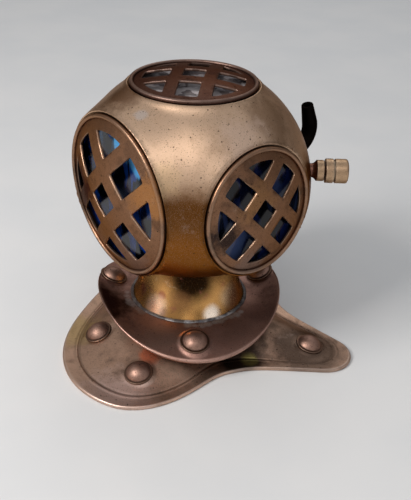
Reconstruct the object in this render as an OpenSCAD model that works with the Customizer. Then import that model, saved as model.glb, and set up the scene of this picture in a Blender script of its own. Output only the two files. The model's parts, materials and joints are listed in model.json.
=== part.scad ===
// Small brass diving helmet: a riveted breastplate and collar carry a neck ring,
// and the bonnet with its guarded windows turns on that ring by an eighth of a turn.
// Millimetres. The table is z = 0 and the plate's tail points along +X.

/* [Shell] */
// Height of the shell's centre above the table
shell_z = 70; // [66:0.5:76]
// Radius of the shell at its widest
shell_r = 50; // [48:0.5:54]
// How far the flattened lower half reaches below the shell's centre
shell_depth = 33; // [32:0.5:34.5]
// Squareness of the lower half: 2 is an ellipse
shell_square = 2.4; // [2.2:0.1:2.6]
// Thickness of the shell's sheet
shell_wall = 1.2; // [0.8:0.1:1.8]

/* [Bonnet bearings] */
// Bearing of the front window, seen from above, from the plate's tail
front_bearing = -118.9; // [-130:0.1:-105]
// Angle from the front window to each side window
side_spread = 90.8; // [88:0.1:93]
// Angle from the front window to the rear plate
rear_spread = 180; // [174:0.5:184]
// Gap between the rear frame and the exhaust valve's nut, inside the shell
valve_gap = 0.5; // [0.2:0.1:2]
// Height of the front and side windows' axes above the shell's centre
window_rise = 3.4; // [2:0.1:4.5]
// Height of the rear plate's axis above the shell's centre
rear_rise = 0.5; // [0:0.1:2]
// How far the top window's rim stands above its seat on the sphere
top_rise = 1; // [0.6:0.1:1.4]
// Tilt of the front window, negative looks down
front_tilt = -3; // [-5:0.1:0]
// Tilt of the side windows
side_tilt = 3.3; // [0:0.1:5]
// Turn of the top grille's bars from the plate's tail
top_turn = 15.5; // [0:0.5:45]

/* [Windows] */
// Radius of the front window's rim
front_r = 33.1; // [31:0.1:34.5]
// Radius of the side windows' rims
side_r = 26; // [24:0.1:27.5]
// Radius of the top window's rim
top_r = 25.9; // [24:0.1:27.5]
// Radius of the rear plate's rim
rear_r = 24; // [22:0.1:24.4]
// Radius of the sphere that each grille is domed to
dome_r = 80; // [60:1:120]
// Thickness of the grilles' sheet
grille_t = 1; // [0.8:0.1:1.4]
// Radius of the bead round each rim
bead_r = 0.9; // [0.7:0.05:1.1]
// How far a rim stands down into its frame
rim_depth = 1; // [0.6:0.1:1.6]
// Width of the front grille's bars
front_bar = 6.6; // [5:0.1:8]
// Spacing of the front grille's bars
front_pitch = 17.6; // [16:0.1:19]
// Width of the front grille's plain border
front_border = 6.2; // [5:0.1:7.5]
// Width of the side and top grilles' bars
small_bar = 5.2; // [4:0.1:6.5]
// Spacing of the side and top grilles' bars
small_pitch = 13.9; // [12.5:0.1:15]
// Width of the side and top grilles' plain border
small_border = 5.1; // [4:0.1:6]

/* [Frames and panes] */
// Gap round each rim inside its frame
rim_gap = 0.3; // [0.2:0.05:0.5]
// Thickness of a frame's wall
frame_wall = 0.8; // [0.7:0.1:1.2]
// How far a frame's edge lies below the middle of the bead
frame_drop = 0.7; // [0.5:0.1:0.9]
// Width of the ledge that carries the rim
ledge_w = 2.2; // [1.6:0.1:2.8]
// Thickness of the ledge
ledge_t = 1; // [0.8:0.1:1.4]
// Thickness of the panes
pane_t = 1.2; // [0.8:0.1:1.6]
// Thickness of the rings that hold the panes
keeper_t = 1.2; // [0.8:0.1:1.6]
// Clearance of a seated piece in its pocket
seat_gap = 0.05; // [0.02:0.01:0.1]
// Wall of the seats that the frames stand in where the shell falls away
seat_wall = 0.8; // [0.6:0.1:1.2]
// How far a seat's edge lies below the middle of the bead
seat_drop = 2.6; // [2.4:0.1:3]
// How far below the shell's centre the seats begin
seat_from = 2; // [1.5:0.5:3]
// Depth of a seat's taper behind its frame
seat_taper = 6; // [5:0.5:7]
// How far the swelling over the front window lies below the middle of the bead
boss_drop = 1.2; // [0.8:0.1:1.8]
// How much the swelling leans back from the window's plane
boss_lean = 4; // [2:0.5:6]
// Slope of the swelling's sides
boss_flare = 13; // [10:0.5:15]
// Depth of the swelling
boss_depth = 14; // [12:0.5:16]

/* [Neck] */
// Height of the collar's flat land, where the neck stands
land_z = 15.6; // [14:0.1:18]
// Width of the neck's foot on the collar, outside its tail
neck_foot_w = 3.4; // [3:0.1:4.4]
// Radius of the neck's waist, under the bonnet
neck_waist_r = 21.1; // [20.6:0.1:22]
// How hollow the neck's flare is: 1 is a straight cone
neck_flare = 2.6; // [1.5:0.1:4]
// Radius of the neck's throat
throat_r = 19.6; // [18.5:0.1:20]
// Radius of the bore through the neck's spigot
neck_bore_r = 16.5; // [15.5:0.1:17]
// Wall of the spigot
spigot_wall = 1.7; // [1.4:0.1:2]
// How far the spigot stands above the neck's shoulder
spigot_h = 7; // [6.8:0.1:8]
// Height of the cone between throat and bore
throat_cone_h = 3; // [2:0.5:4]
// Height of the pilot that the bonnet turns on
pilot_h = 2.2; // [1.6:0.1:2.3]
// Radial clearance of the bonnet on the pilot
turn_fit = 0.08; // [0.03:0.01:0.1]
// Gap between the neck's shoulder and the bonnet's ring
shoulder_gap = 0.3; // [0.2:0.05:0.5]
// Radius of the neck's tail, through the collar and the plate
tail_tube_r = 21.4; // [20.8:0.1:22]

/* [Eighth turn lock] */
// Angle that the bonnet turns through
lock_travel = 45; // [40:1:46]
// Where the bonnet stands, from its free end
lock_at = 16; // [10:1:20]
// Angle that each lug spans
lug_deg = 40; // [36:1:40]
// How far the lugs reach
lug_reach = 1.4; // [1.1:0.1:1.6]
// Thickness of the lugs
lug_t = 1.5; // [1.2:0.1:1.6]
// Clearance round the lugs
lug_gap = 0.3; // [0.25:0.05:0.4]
// Height of the spigot's edge above its lugs
lug_below = 0.5; // [0.3:0.1:0.8]
// Wall of the bonnet's ring
ring_wall = 1.4; // [1:0.1:1.8]
// Width of the lip under the shell
lip_w = 0.7; // [0.4:0.1:1.2]
// Height of the lip under the shell
lip_h = 0.7; // [0.5:0.1:1.2]

/* [Collar] */
// Bearing of the collar's front end from the plate's tail
collar_bearing = -57.5; // [-75:0.5:-45]
// Half length of the collar, front to back
collar_a = 46.3; // [44:0.1:48]
// Half width of the collar, side to side
collar_b = 40.5; // [38.5:0.1:43]
// Width of the collar's flat land outside the neck's foot
collar_land_w = 2.2; // [1.8:0.1:3]
// Height of the collar's front and back ends
collar_low_z = 10.4; // [9.8:0.1:12]
// Height of the collar's sides
collar_high_z = 21; // [18:0.1:23]
// Curve of the collar: 1 is a straight slope
collar_curve = 1.6; // [1.3:0.1:2]
// Thickness of the collar's sheet
collar_t = 1.3; // [1:0.1:1.5]

/* [Breastplate] */
// Reach of the tail from the neck's axis
tail_reach = 76.7; // [72:0.1:84]
// Radius of the tail's rounded tip
tail_tip_r = 12.3; // [10:0.1:14]
// Half angle of the tail's sides
tail_half_deg = 21.7; // [18:0.1:25]
// Reach of the front and back lobes
lobe_reach = 70.5; // [67:0.1:76]
// Bearing at which the lobes reach furthest
lobe_bearing = 92; // [90:0.5:95]
// Reach of the plate at its waist, between lobe and tail
waist_reach = 44; // [43:0.1:47]
// Reach of the plate's blunt end
heel_reach = 47; // [45.5:0.1:50]
// Width of the flat border
border_w = 7; // [5:0.1:8]
// Width of the plate's flat land outside the clamp ring
plate_land_w = 0.5; // [0.3:0.1:1]
// Curve of the plate's rise: 1 is a straight slope
plate_curve = 1.4; // [1.2:0.1:2]
// Thickness of the plate's sheet
plate_t = 1.8; // [1.4:0.1:2.2]
// Height of the ring that closes the stack under the plate
clamp_h = 2; // [1.5:0.1:2.5]
// Width of the ring that closes the stack
clamp_w = 3.6; // [2.5:0.1:3.6]

/* [Rivets] */
// Radius of a plate rivet's head
plate_head_r = 5.1; // [4.6:0.1:5.4]
// Radius of a collar rivet's head
collar_head_r = 5.3; // [4.8:0.1:5.6]
// Height of a rivet's head
head_h = 3.2; // [2.6:0.1:4]
// Radius of a rivet's shank
shank_r = 1.6; // [1.3:0.1:1.9]
// Radius of a rivet's closed end
closed_r = 2.5; // [2.1:0.1:2.8]
// Height of a rivet's closed end
closed_h = 0.7; // [0.5:0.1:0.8]
// Thickness of the washer under a rivet's head
washer_t = 0.6; // [0.4:0.1:0.9]
// How far a washer shows round its rivet's head
washer_show = 0.9; // [0.5:0.1:1.2]
// Height of the pads under the plate's washers
pad_h = 0.35; // [0.25:0.05:0.6]
// Height of the pads under the collar's washers
collar_pad_h = 0.75; // [0.7:0.05:1]
// Distance of the collar's side rivets from the neck's axis
collar_rivet_at = 35.4; // [34.8:0.1:35.6]
// Distance of the collar's front and back rivets from the neck's axis
collar_end_rivet_at = 37.6; // [36.8:0.1:38.4]
// Bearing of the collar's front rivet from the collar's front end
collar_rivet_turn = -4; // [-6:0.5:0]
// Bearing of the collar's side rivets from its front rivet
collar_rivet_spread = 107; // [101:1:110]
// Distance of the lobe rivets from the neck's axis
lobe_rivet_at = 51; // [49:0.1:54]
// Bearing of the lobe rivets
lobe_rivet_bearing = 89; // [85:1:95]
// Distance of the heel rivets from the neck's axis
heel_rivet_at = 43.3; // [43:0.1:46]
// Bearing of the heel rivets
heel_rivet_bearing = 130; // [125:1:134]
// Distance of the tail rivet from the neck's axis
tail_rivet_at = 58; // [55:0.1:62]

/* [Gooseneck] */
// Distance from the neck's axis to the start of the bend
bend_at = 57.7; // [56:0.1:59]
// Radius of the bend's middle line
bend_r = 9.4; // [8:0.1:10.5]
// Angle that the bend turns through
bend_deg = 106; // [96:1:110]
// Radius of the pipe
pipe_r = 3.5; // [3.2:0.1:3.9]
// Radius of the pipe's mouth, outside
mouth_r = 2.7; // [2.5:0.1:3]
// Length of the tapered stretch
taper_l = 9; // [8:0.5:11]
// Step where the tapered stretch leaves the bend
mouth_step = 0.2; // [0.1:0.05:0.4]
// Radius of the hose bore in the mouth
hose_bore_r = 1.6; // [1.3:0.1:1.8]
// Depth of the hose bore
hose_bore_l = 7; // [5:0.5:8]
// Radius of the flange on the rear plate
inlet_flange_r = 7; // [6:0.1:8.5]
// Thickness of the flange
inlet_flange_t = 1.5; // [1.2:0.1:1.8]
// Reach of the inlet's threaded stem inside the rear plate
inlet_stem_l = 5; // [4:0.5:6]
// Radius over the corners of the inlet's nut
inlet_nut_r = 6; // [5:0.1:6.8]
// Thickness of the inlet's nut
inlet_nut_t = 1.6; // [1.2:0.1:2]

/* [Exhaust valve] */
// Height of the valve's axis above the shell's centre
valve_rise = 6.8; // [4.5:0.1:8]
// Radius of the valve's stem
stem_r = 2.9; // [2.6:0.1:3.3]
// Radius of the flare where the stem meets the valve's body
stem_flare_r = 4.4; // [4.2:0.1:5]
// Length of the stem's flare
stem_flare_l = 1.4; // [1:0.1:1.8]
// How far the valve's body stands off the shell
valve_stand = 1.9; // [1.5:0.1:3]
// Radius of the valve's body
valve_body_r = 4.4; // [4:0.1:4.8]
// Length of the valve's body
valve_body_l = 3; // [2.5:0.1:4]
// Radius of the cap
cap_r = 5.1; // [4.7:0.1:5.6]
// Length of the cap's ring, nearer the shell
cap_ring_l = 3.4; // [2.8:0.1:4]
// Length of the cap's knob
cap_knob_l = 5.6; // [4.8:0.1:6.5]
// Bevel of the knob's outer end
cap_bevel = 1; // [0.6:0.1:1.6]
// Depth of the spindle's bore in the cap, beyond the cap's ring
cap_bore_l = 3.6; // [3.4:0.1:4.2]
// Reach of the spindle into the cap's knob
spindle_l = 3; // [2:0.1:3]
// Width of the grooves between the valve's sections
groove_w = 0.6; // [0.4:0.1:0.8]
// Depth of the groove in the cap
groove_d = 0.8; // [0.5:0.1:1]
// Radius of the spindle that the cap turns on
spindle_r = 2; // [1.6:0.1:2.3]
// Radial clearance of the cap on its spindle
cap_fit = 0.06; // [0.03:0.01:0.1]
// Radius over the corners of the nut inside the shell
inner_nut_r = 5; // [4.4:0.1:5.6]
// Thickness of the nut inside the shell
inner_nut_t = 2.5; // [1.8:0.1:3]

/* [Solder] */
// Width of the pale solder ring round the neck's foot
solder_w = 1.5; // [1:0.1:2]
// Height of the solder ring
solder_h = 0.7; // [0.4:0.1:1.2]

/* [Hidden] */
$fn = 64;

plate_sectors = 108;
plate_rings = 9;
collar_sectors = 60;
collar_rings = 8;
slope_step = 0.5;
shell_steps = 14;
neck_steps = 10;
lug_count = 4;
overlap = 0.5;
inset_play = 0.1;

// Heights and radii that follow from the sizes above.
spigot_r = neck_bore_r + spigot_wall;
neck_lug_r = spigot_r + lug_reach;
pilot_r = neck_lug_r + lug_gap + inset_play;
ring_bore_r = pilot_r + turn_fit;
ring_tube_r = ring_bore_r + ring_wall;
lip_r = ring_tube_r + lip_w;
ring_z = shell_z - under_depth(ring_tube_r) - lip_h;
shoulder_z = ring_z - shoulder_gap;
spigot_top = shoulder_z + spigot_h;
neck_lug_z = spigot_top - lug_t - lug_below;
ring_lug_z = neck_lug_z - lug_gap - lug_t;
ring_top = spigot_top - 0.2;
plate_land_z = land_z - collar_t;
clamp_z = plate_land_z - plate_t - clamp_h;
neck_foot_r = tail_tube_r + neck_foot_w;
plate_land_r = tail_tube_r + clamp_w + plate_land_w;
collar_land_r = neck_foot_r + collar_land_w;
valve_at = shell_r + valve_stand;
pitch_deg = 360 / lug_count;
stop_deg = pitch_deg - lug_deg - lock_travel - 2;

// Depth of the shell's underside below its centre, at distance r from the axis.
function under_depth(r) = shell_depth * pow(1 - pow(r / shell_r, shell_square), 1 / shell_square);

// Distance from the shell's centre to a rim of radius r whose edge lies on the sphere.
function seat(r) = sqrt(shell_r * shell_r - r * r);

// Rise of the grille's dome above its edge.
function sag(r) = dome_r - sqrt(dome_r * dome_r - r * r);

// Outer radius of the frame round a rim of radius r.
function frame_r(r) = r + rim_gap + frame_wall;

// The part is longest from its tail to its blunt end or to the right window, and its box is centred
// on the origin: reach of the window's frame and of its bead, opposite to the tail.
right_bearing = front_bearing - side_spread;
right_nx = cos(side_tilt) * cos(right_bearing);
right_edge = sqrt(1 - right_nx * right_nx);
frame_reach = frame_drop * right_nx - seat(side_r) * cos(right_bearing) + frame_r(side_r) * right_edge;
bead_reach = bead_r - seat(side_r) * cos(right_bearing) + (side_r - bead_r) * right_edge;
shift_x = (max(heel_reach, frame_reach, bead_reach) - tail_reach) / 2;

// The tail's outline: two straight sides and a round tip, as a distance at bearing a.
tip_x = tail_reach - tail_tip_r;
side_x = tip_x + tail_tip_r / sin(tail_half_deg);
tail_tangent = atan2(tail_tip_r * cos(tail_half_deg), tip_x + tail_tip_r * sin(tail_half_deg));
function tail_side(a) = side_x * sin(tail_half_deg) / max(0.05, sin(a + tail_half_deg));
function tail_tip(a) = tip_x * cos(a) + sqrt(max(0, pow(tail_tip_r, 2) - pow(tip_x * sin(a), 2)));
function tail_line(a) = a < tail_tangent ? tail_tip(a) : tail_side(a);

// The lobes' outline: a raised cosine that falls to the waist on one side and the heel on the other.
lobe_spread = 52;
lobe_power = 2.4;
function bump(t) = pow(cos(90 * min(1, abs(t))), lobe_power);
function lobe_line(a) =
    a < lobe_bearing
        ? waist_reach + (lobe_reach - waist_reach) * bump((lobe_bearing - a) / lobe_spread)
        : heel_reach + (lobe_reach - heel_reach) * bump((a - lobe_bearing) / (180 - lobe_bearing));

// The two blend where they cross. The outline is the same on both sides of the tail's axis.
blend = 16;
function folded(a) = abs(a - 360 * round(a / 360));
function half_outline(a) =
    a < 90 ? pow(pow(tail_line(a), blend) + pow(lobe_line(a), blend), 1 / blend) : lobe_line(a);
function outline(a) = half_outline(folded(a));

// Height of the plate's top at distance r and bearing a: flat border, hollow rise, flat land.
function plate_top(r, a) =
    let (edge = outline(a) - border_w, s = min(1, max(0, (edge - r) / (edge - plate_land_r))))
    plate_t + (plate_land_z - plate_t) * pow(s, plate_curve);

// The collar's outline and its saddle, with bearings from its front end.
function collar_edge(a) = collar_a * collar_b / sqrt(pow(collar_b * cos(a), 2) + pow(collar_a * sin(a), 2));
function collar_rim_z(a) =
    (collar_low_z + collar_high_z) / 2 + (collar_low_z - collar_high_z) / 2 * cos(2 * a);
function collar_top(r, a) =
    let (t = min(1, max(0, (r - collar_land_r) / (collar_edge(a) - collar_land_r))))
    land_z + (collar_rim_z(a) - land_z) * pow(t, collar_curve);

// A sheet with a hole: rings of points above, the same rings below, closed at both edges.
// rings holds one list of [x, y, z] for each ring, from the hole outwards.
module sheet(rings, thickness) {
    n = len(rings[0]);
    m = len(rings);
    top = [for (ring = rings) each ring];
    bottom = [for (ring = rings) each [for (p = ring) [p.x, p.y, p.z - thickness]]];
    low = n * m;
    function at(i, j) = i * n + j % n;
    upper = [for (i = [0:m - 2], j = [0:n - 1]) each [
        [at(i, j), at(i + 1, j + 1), at(i + 1, j)],
        [at(i, j), at(i, j + 1), at(i + 1, j + 1)]]];
    under = [for (f = upper) [low + f[0], low + f[2], low + f[1]]];
    inner = [for (j = [0:n - 1]) each [
        [at(0, j), low + at(0, j), low + at(0, j + 1)],
        [at(0, j), low + at(0, j + 1), at(0, j + 1)]]];
    outer = [for (j = [0:n - 1]) each [
        [at(m - 1, j), low + at(m - 1, j + 1), low + at(m - 1, j)],
        [at(m - 1, j), at(m - 1, j + 1), low + at(m - 1, j + 1)]]];
    polyhedron(points = concat(top, bottom), faces = concat(upper, under, inner, outer));
}

module tube(outer_r, inner_r, low, high) {
    difference() {
        translate([0, 0, low]) cylinder(r = outer_r, h = high - low);
        translate([0, 0, low - 1]) cylinder(r = inner_r, h = high - low + 2);
    }
}

// Places of the two frames that the pieces are drawn in.
module on_base() {
    translate([shift_x, 0, 0]) children();
}

module on_bonnet() {
    on_base() rotate(front_bearing) children();
}

// A window's own frame: its axis is +Z and the middle of its bead is at z = 0.
module at_window(bearing, tilt, r, rise) {
    on_bonnet() rotate(bearing) translate([seat(r), 0, shell_z + rise])
        rotate([0, 90 - tilt, 0]) children();
}

module at_front() {
    at_window(0, front_tilt, front_r, window_rise) children();
}

module at_left() {
    at_window(side_spread, side_tilt, side_r, window_rise) children();
}

module at_right() {
    at_window(-side_spread, side_tilt, side_r, window_rise) children();
}

module at_rear() {
    at_window(rear_spread, 0, rear_r, rear_rise) children();
}

module at_top() {
    on_base() rotate(top_turn) translate([0, 0, shell_z + seat(top_r) + top_rise]) children();
}

module at_valve() {
    on_bonnet() rotate(valve_spread) translate([0, 0, shell_z + valve_rise]) rotate([0, 90, 0]) children();
}

// Breastplate
module plate_pads() {
    at_plate_rivets() translate([0, 0, -1]) cylinder(r = plate_washer_r + pad_show, h = 1 + pad_h);
}

pad_show = 0.3;
hole_play = 0.1;
spot_play = 0.2;
// How far a cut reaches on each side of its sheet.
cut_reach = 6;
plate_washer_r = plate_head_r + washer_show;
collar_washer_r = collar_head_r + washer_show;

// A point on the plate at distance r and bearing a, with +Z square to the sheet.
module on_plate(r, a) {
    slope = (plate_top(r + slope_step, a) - plate_top(r - slope_step, a)) / (2 * slope_step);
    on_base() rotate(a) translate([r, 0, plate_top(r, a)]) rotate([0, -atan(slope), 0]) children();
}

module at_plate_rivets() {
    for (side = [-1, 1]) {
        on_plate(lobe_rivet_at, side * lobe_rivet_bearing) children();
        on_plate(heel_rivet_at, side * heel_rivet_bearing) children();
    }
    on_plate(tail_rivet_at, 0) children();
}

// Distance of the plate's ring k: the hole, the land, the rise in even steps, the border and the edge.
function plate_ring_r(k, a) =
    let (edge = outline(a) - border_w)
    k == 0 ? tail_tube_r - 1
    : k < plate_rings - 1 ? plate_land_r + (edge - plate_land_r) * (k - 1) / (plate_rings - 3)
    : outline(a);

module breastplate() color("#7a5a3a") {
    rings = [for (k = [0:plate_rings - 1]) [for (j = [0:plate_sectors - 1])
        let (a = 360 * j / plate_sectors, r = plate_ring_r(k, a))
        [r * cos(a), r * sin(a), plate_top(r, a)]]];
    difference() {
        union() {
            on_base() sheet(rings, plate_t);
            plate_pads();
        }
        on_base() cylinder(r = tail_tube_r + hole_play, h = land_z + cut_reach);
        at_plate_rivets() {
            rivet_hole(plate_t);
            translate([0, 0, pad_h]) cylinder(r = plate_washer_r + pad_show + spot_play, h = cut_reach);
        }
    }
}

// Rivets and washers
module rivet(head_r, sheet_t, pad) {
    ball_r = (head_r * head_r + head_h * head_h) / (2 * head_h);
    base = pad + washer_t;
    intersection() {
        translate([0, 0, base + head_h - ball_r]) sphere(r = ball_r);
        translate([0, 0, base]) cylinder(r = head_r, h = head_h + 1);
    }
    translate([0, 0, -sheet_t - closed_h]) cylinder(r = shank_r, h = sheet_t + closed_h + base + overlap);
    translate([0, 0, -sheet_t - closed_h - 0.1]) cylinder(r = closed_r, h = closed_h);
}

// What a rivet takes out of its sheet: its hole and the seat of its closed end.
module rivet_hole(sheet_t) {
    translate([0, 0, -cut_reach]) cylinder(r = shank_r + hole_play, h = 2 * cut_reach);
    translate([0, 0, -sheet_t - closed_h - 0.1]) cylinder(r = closed_r + spot_play, h = closed_h);
}

module washer(r, pad) {
    translate([0, 0, pad]) difference() {
        cylinder(r = r, h = washer_t);
        translate([0, 0, -1]) cylinder(r = shank_r + hole_play, h = washer_t + 2);
    }
}

module plate_washers() color("#8a6a48") at_plate_rivets() washer(plate_washer_r, pad_h);
module plate_rivets() color("#9c7658") at_plate_rivets() rivet(plate_head_r, plate_t, pad_h);

// Collar
module on_collar(r, a) {
    step_deg = slope_step / r * 180 / PI;
    slope = (collar_top(r + slope_step, a) - collar_top(r - slope_step, a)) / (2 * slope_step);
    lean = atan((collar_top(r, a + step_deg) - collar_top(r, a - step_deg)) / (2 * slope_step));
    on_base() rotate(collar_bearing + a) translate([r, 0, collar_top(r, a)])
        rotate([lean, 0, 0]) rotate([0, -atan(slope * cos(lean)), 0]) children();
}

module at_collar_rivets() {
    for (a = [0, 180]) on_collar(collar_end_rivet_at, collar_rivet_turn + a) children();
    for (side = [-1, 1]) on_collar(collar_rivet_at, collar_rivet_turn + side * collar_rivet_spread) children();
}

// Distance of the collar's ring k: the hole, then even steps from the land to the edge.
function collar_ring_r(k, a) =
    k == 0 ? tail_tube_r - 1
    : collar_land_r + (collar_edge(a) - collar_land_r) * (k - 1) / (collar_rings - 2);

module collar() color("#6b4a36") {
    rings = [for (k = [0:collar_rings - 1]) [for (j = [0:collar_sectors - 1])
        let (a = 360 * j / collar_sectors, r = collar_ring_r(k, a))
        [r * cos(a), r * sin(a), collar_top(r, a)]]];
    difference() {
        union() {
            on_base() rotate(collar_bearing) sheet(rings, collar_t);
            at_collar_rivets() translate([0, 0, -1]) cylinder(r = collar_washer_r + pad_show, h = 1 + collar_pad_h);
        }
        on_base() cylinder(r = tail_tube_r + hole_play, h = land_z + cut_reach);
        at_collar_rivets() rivet_hole(collar_t);
    }
}

module collar_washers() color("#8a6a48") at_collar_rivets() washer(collar_washer_r, collar_pad_h);
module collar_rivets() color("#9c7658") at_collar_rivets() rivet(collar_head_r, collar_t, collar_pad_h);

// Neck
function neck_line(t) = neck_waist_r + (neck_foot_r - neck_waist_r) * pow(1 - t, neck_flare);

module lug(inner_r, outer_r, low, deg, middle) {
    rotate(middle - deg / 2) rotate_extrude(angle = deg)
        translate([inner_r, low]) square([outer_r - inner_r, lug_t]);
}

module neck_ring() color("#c08a3e") on_base() {
    rise = shoulder_z - land_z;
    flare = [for (i = [0:neck_steps]) [neck_line(i / neck_steps), land_z + rise * i / neck_steps]];
    difference() {
        union() {
            rotate_extrude() polygon(concat([[0, clamp_z], [tail_tube_r, clamp_z], [tail_tube_r, land_z]],
                flare,
                [[pilot_r, shoulder_z], [pilot_r, shoulder_z + pilot_h], [spigot_r, shoulder_z + pilot_h],
                 [spigot_r, spigot_top], [0, spigot_top]]));
            for (k = [0:lug_count - 1]) {
                lug(spigot_r - overlap, neck_lug_r, neck_lug_z, lug_deg, front_bearing - lock_at + lock_travel
                    + k * pitch_deg);
            }
            lug(spigot_r - overlap, neck_lug_r, ring_lug_z, stop_deg,
                front_bearing - lock_at + lock_travel + lug_deg / 2 + 1 + stop_deg / 2);
        }
        translate([0, 0, clamp_z - 1]) cylinder(r = throat_r, h = shoulder_z - throat_cone_h - clamp_z + 1);
        translate([0, 0, shoulder_z - throat_cone_h]) cylinder(r1 = throat_r, r2 = neck_bore_r, h = throat_cone_h);
        translate([0, 0, clamp_z]) cylinder(r = neck_bore_r, h = spigot_top - clamp_z + 1);
    }
}

module solder_ring() color("#a9a59a") on_base() {
    rotate_extrude() polygon([
        [neck_foot_r + seat_gap, land_z], [neck_foot_r + solder_w, land_z],
        [neck_foot_r + solder_w * 0.4, land_z + solder_h * 0.7], [neck_foot_r + seat_gap, land_z + solder_h]]);
}

module clamp_ring() color("#9a7440") on_base() {
    tube(tail_tube_r + clamp_w, tail_tube_r + seat_gap, clamp_z, clamp_z + clamp_h);
}

// Bonnet
module shell_form(inset) {
    r = shell_r - inset;
    d = shell_depth - inset;
    e = 2 / shell_square;
    intersection() {
        sphere(r = r, $fn = 96);
        translate([-2 * r, -2 * r, 0]) cube([4 * r, 4 * r, 2 * r]);
    }
    rotate_extrude($fn = 96) polygon(concat([[0, 0]],
        [for (i = [0:shell_steps]) let (t = 90 * i / shell_steps) [r * pow(cos(t), e), -d * pow(sin(t), e)]]));
}

frame_depth = rim_depth + ledge_t + pane_t + keeper_t;

// A frame's pocket, and behind it the opening that the pane looks through.
module frame_hole(r) {
    translate([0, 0, -frame_depth]) cylinder(r = frame_r(r) + seat_gap, h = frame_depth + shell_r);
    translate([0, 0, -frame_depth - seat_taper - 3]) cylinder(r = r - ledge_w, h = seat_taper + 4);
}

// The seat that carries a frame where the shell falls away below it.
module frame_seat(r) {
    seat_r = frame_r(r) + seat_wall;
    translate([0, 0, -frame_depth - overlap]) cylinder(r = seat_r, h = frame_depth + overlap - seat_drop);
    translate([0, 0, -frame_depth - overlap - seat_taper])
        cylinder(r1 = seat_r - seat_taper, r2 = seat_r, h = seat_taper);
}

// The swelling of the shell up to the front window, which stands proud of the sphere at its top.
module front_swelling() {
    boss_r = frame_r(front_r) + seat_wall;
    intersection() {
        at_front() translate([0, 0, -boss_drop - boss_r * sin(boss_lean)]) rotate([0, boss_lean, 0])
            translate([0, 0, -boss_depth])
            cylinder(r1 = boss_r + boss_depth * tan(boss_flare), r2 = boss_r, h = boss_depth);
        on_base() translate([-2 * shell_r, -2 * shell_r, shell_z]) cube([4 * shell_r, 4 * shell_r, 2 * shell_r]);
    }
}

module bonnet_shell() color("#9a7a48") difference() {
    union() {
        on_bonnet() translate([0, 0, shell_z]) shell_form(0);
        intersection() {
            union() {
                at_front() frame_seat(front_r);
                at_left() frame_seat(side_r);
                at_right() frame_seat(side_r);
                at_rear() frame_seat(rear_r);
            }
            on_base() cylinder(r = 2 * shell_r, h = shell_z - seat_from);
        }
        front_swelling();
    }
    on_bonnet() translate([0, 0, shell_z]) shell_form(shell_wall);
    at_front() frame_hole(front_r);
    at_left() frame_hole(side_r);
    at_right() frame_hole(side_r);
    at_top() frame_hole(top_r);
    at_rear() frame_hole(rear_r);
    at_valve() translate([0, 0, shell_r / 2]) cylinder(r = stem_r + seat_gap, h = shell_r);
    on_base() cylinder(r = ring_tube_r + seat_gap, h = shell_z);
}

module bonnet_ring() color("#a67c3e") on_base() {
    tube(lip_r, ring_bore_r, ring_z, ring_z + lip_h);
    tube(ring_tube_r, ring_bore_r, ring_z, ring_top);
    for (k = [0:lug_count - 1]) {
        lug(spigot_r + lug_gap, ring_bore_r + overlap, ring_lug_z, lug_deg, front_bearing + k * pitch_deg);
    }
}

// Window frame: a tube with a ledge, open below for the pane and its keeper.
module frame(r) {
    difference() {
        translate([0, 0, -frame_depth]) cylinder(r = frame_r(r), h = frame_depth - frame_drop);
        translate([0, 0, -rim_depth]) cylinder(r = r + rim_gap, h = frame_depth);
        translate([0, 0, -frame_depth - 1]) cylinder(r = r - ledge_w, h = frame_depth + 2);
        translate([0, 0, -frame_depth - 1]) cylinder(r = r + seat_gap, h = pane_t + keeper_t + 1);
    }
}

// Domed disc with its bead and its rim.
module domed_disc(r) {
    crown = sag(r - bead_r) - bead_r / 2;
    intersection() {
        difference() {
            translate([0, 0, crown - dome_r]) sphere(r = dome_r, $fn = 96);
            translate([0, 0, crown - dome_r]) sphere(r = dome_r - grille_t, $fn = 96);
        }
        translate([0, 0, -rim_depth]) cylinder(r = r - bead_r, h = crown + rim_depth + 1);
    }
    rotate_extrude() translate([r - bead_r, 0]) circle(r = bead_r, $fn = 32);
    tube(r, r - 2 * bead_r, -rim_depth, 0);
}

module grille(r, bar, pitch, border, turn) {
    difference() {
        domed_disc(r);
        rotate(turn) translate([0, 0, -dome_r]) linear_extrude(2 * dome_r) difference() {
            circle(r = r - border);
            for (side = [-1, 1]) {
                translate([-r, side * pitch / 2 - bar / 2]) square([2 * r, bar]);
                translate([side * pitch / 2 - bar / 2, -r]) square([bar, 2 * r]);
            }
        }
    }
}

module pane(r) {
    translate([0, 0, -rim_depth - ledge_t - pane_t]) cylinder(r = r, h = pane_t);
}

module keeper(r) {
    tube(r, r - ledge_w, -frame_depth, -frame_depth + keeper_t);
}

frame_tint = "#a08048";
grille_tint = "#7d5a3c";
pane_tint = [0.5, 0.6, 0.7, 0.35];

module frame_front() color(frame_tint) at_front() frame(front_r);
module frame_left() color(frame_tint) at_left() frame(side_r);
module frame_right() color(frame_tint) at_right() frame(side_r);
module frame_top() color(frame_tint) at_top() frame(top_r);
module frame_rear() color(frame_tint) at_rear() frame(rear_r);
module grille_front() color(grille_tint) at_front() grille(front_r, front_bar, front_pitch, front_border, 45);
module grille_left() color(grille_tint) at_left() grille(side_r, small_bar, small_pitch, small_border, 45);
module grille_right() color(grille_tint) at_right() grille(side_r, small_bar, small_pitch, small_border, 45);
module grille_top() color(grille_tint) at_top() grille(top_r, small_bar, small_pitch, small_border, 0);
module pane_front() color(pane_tint) at_front() pane(front_r);
module pane_left() color(pane_tint) at_left() pane(side_r);
module pane_right() color(pane_tint) at_right() pane(side_r);
module pane_top() color(pane_tint) at_top() pane(top_r);
module keeper_front() color(frame_tint) at_front() keeper(front_r);
module keeper_left() color(frame_tint) at_left() keeper(side_r);
module keeper_right() color(frame_tint) at_right() keeper(side_r);
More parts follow.
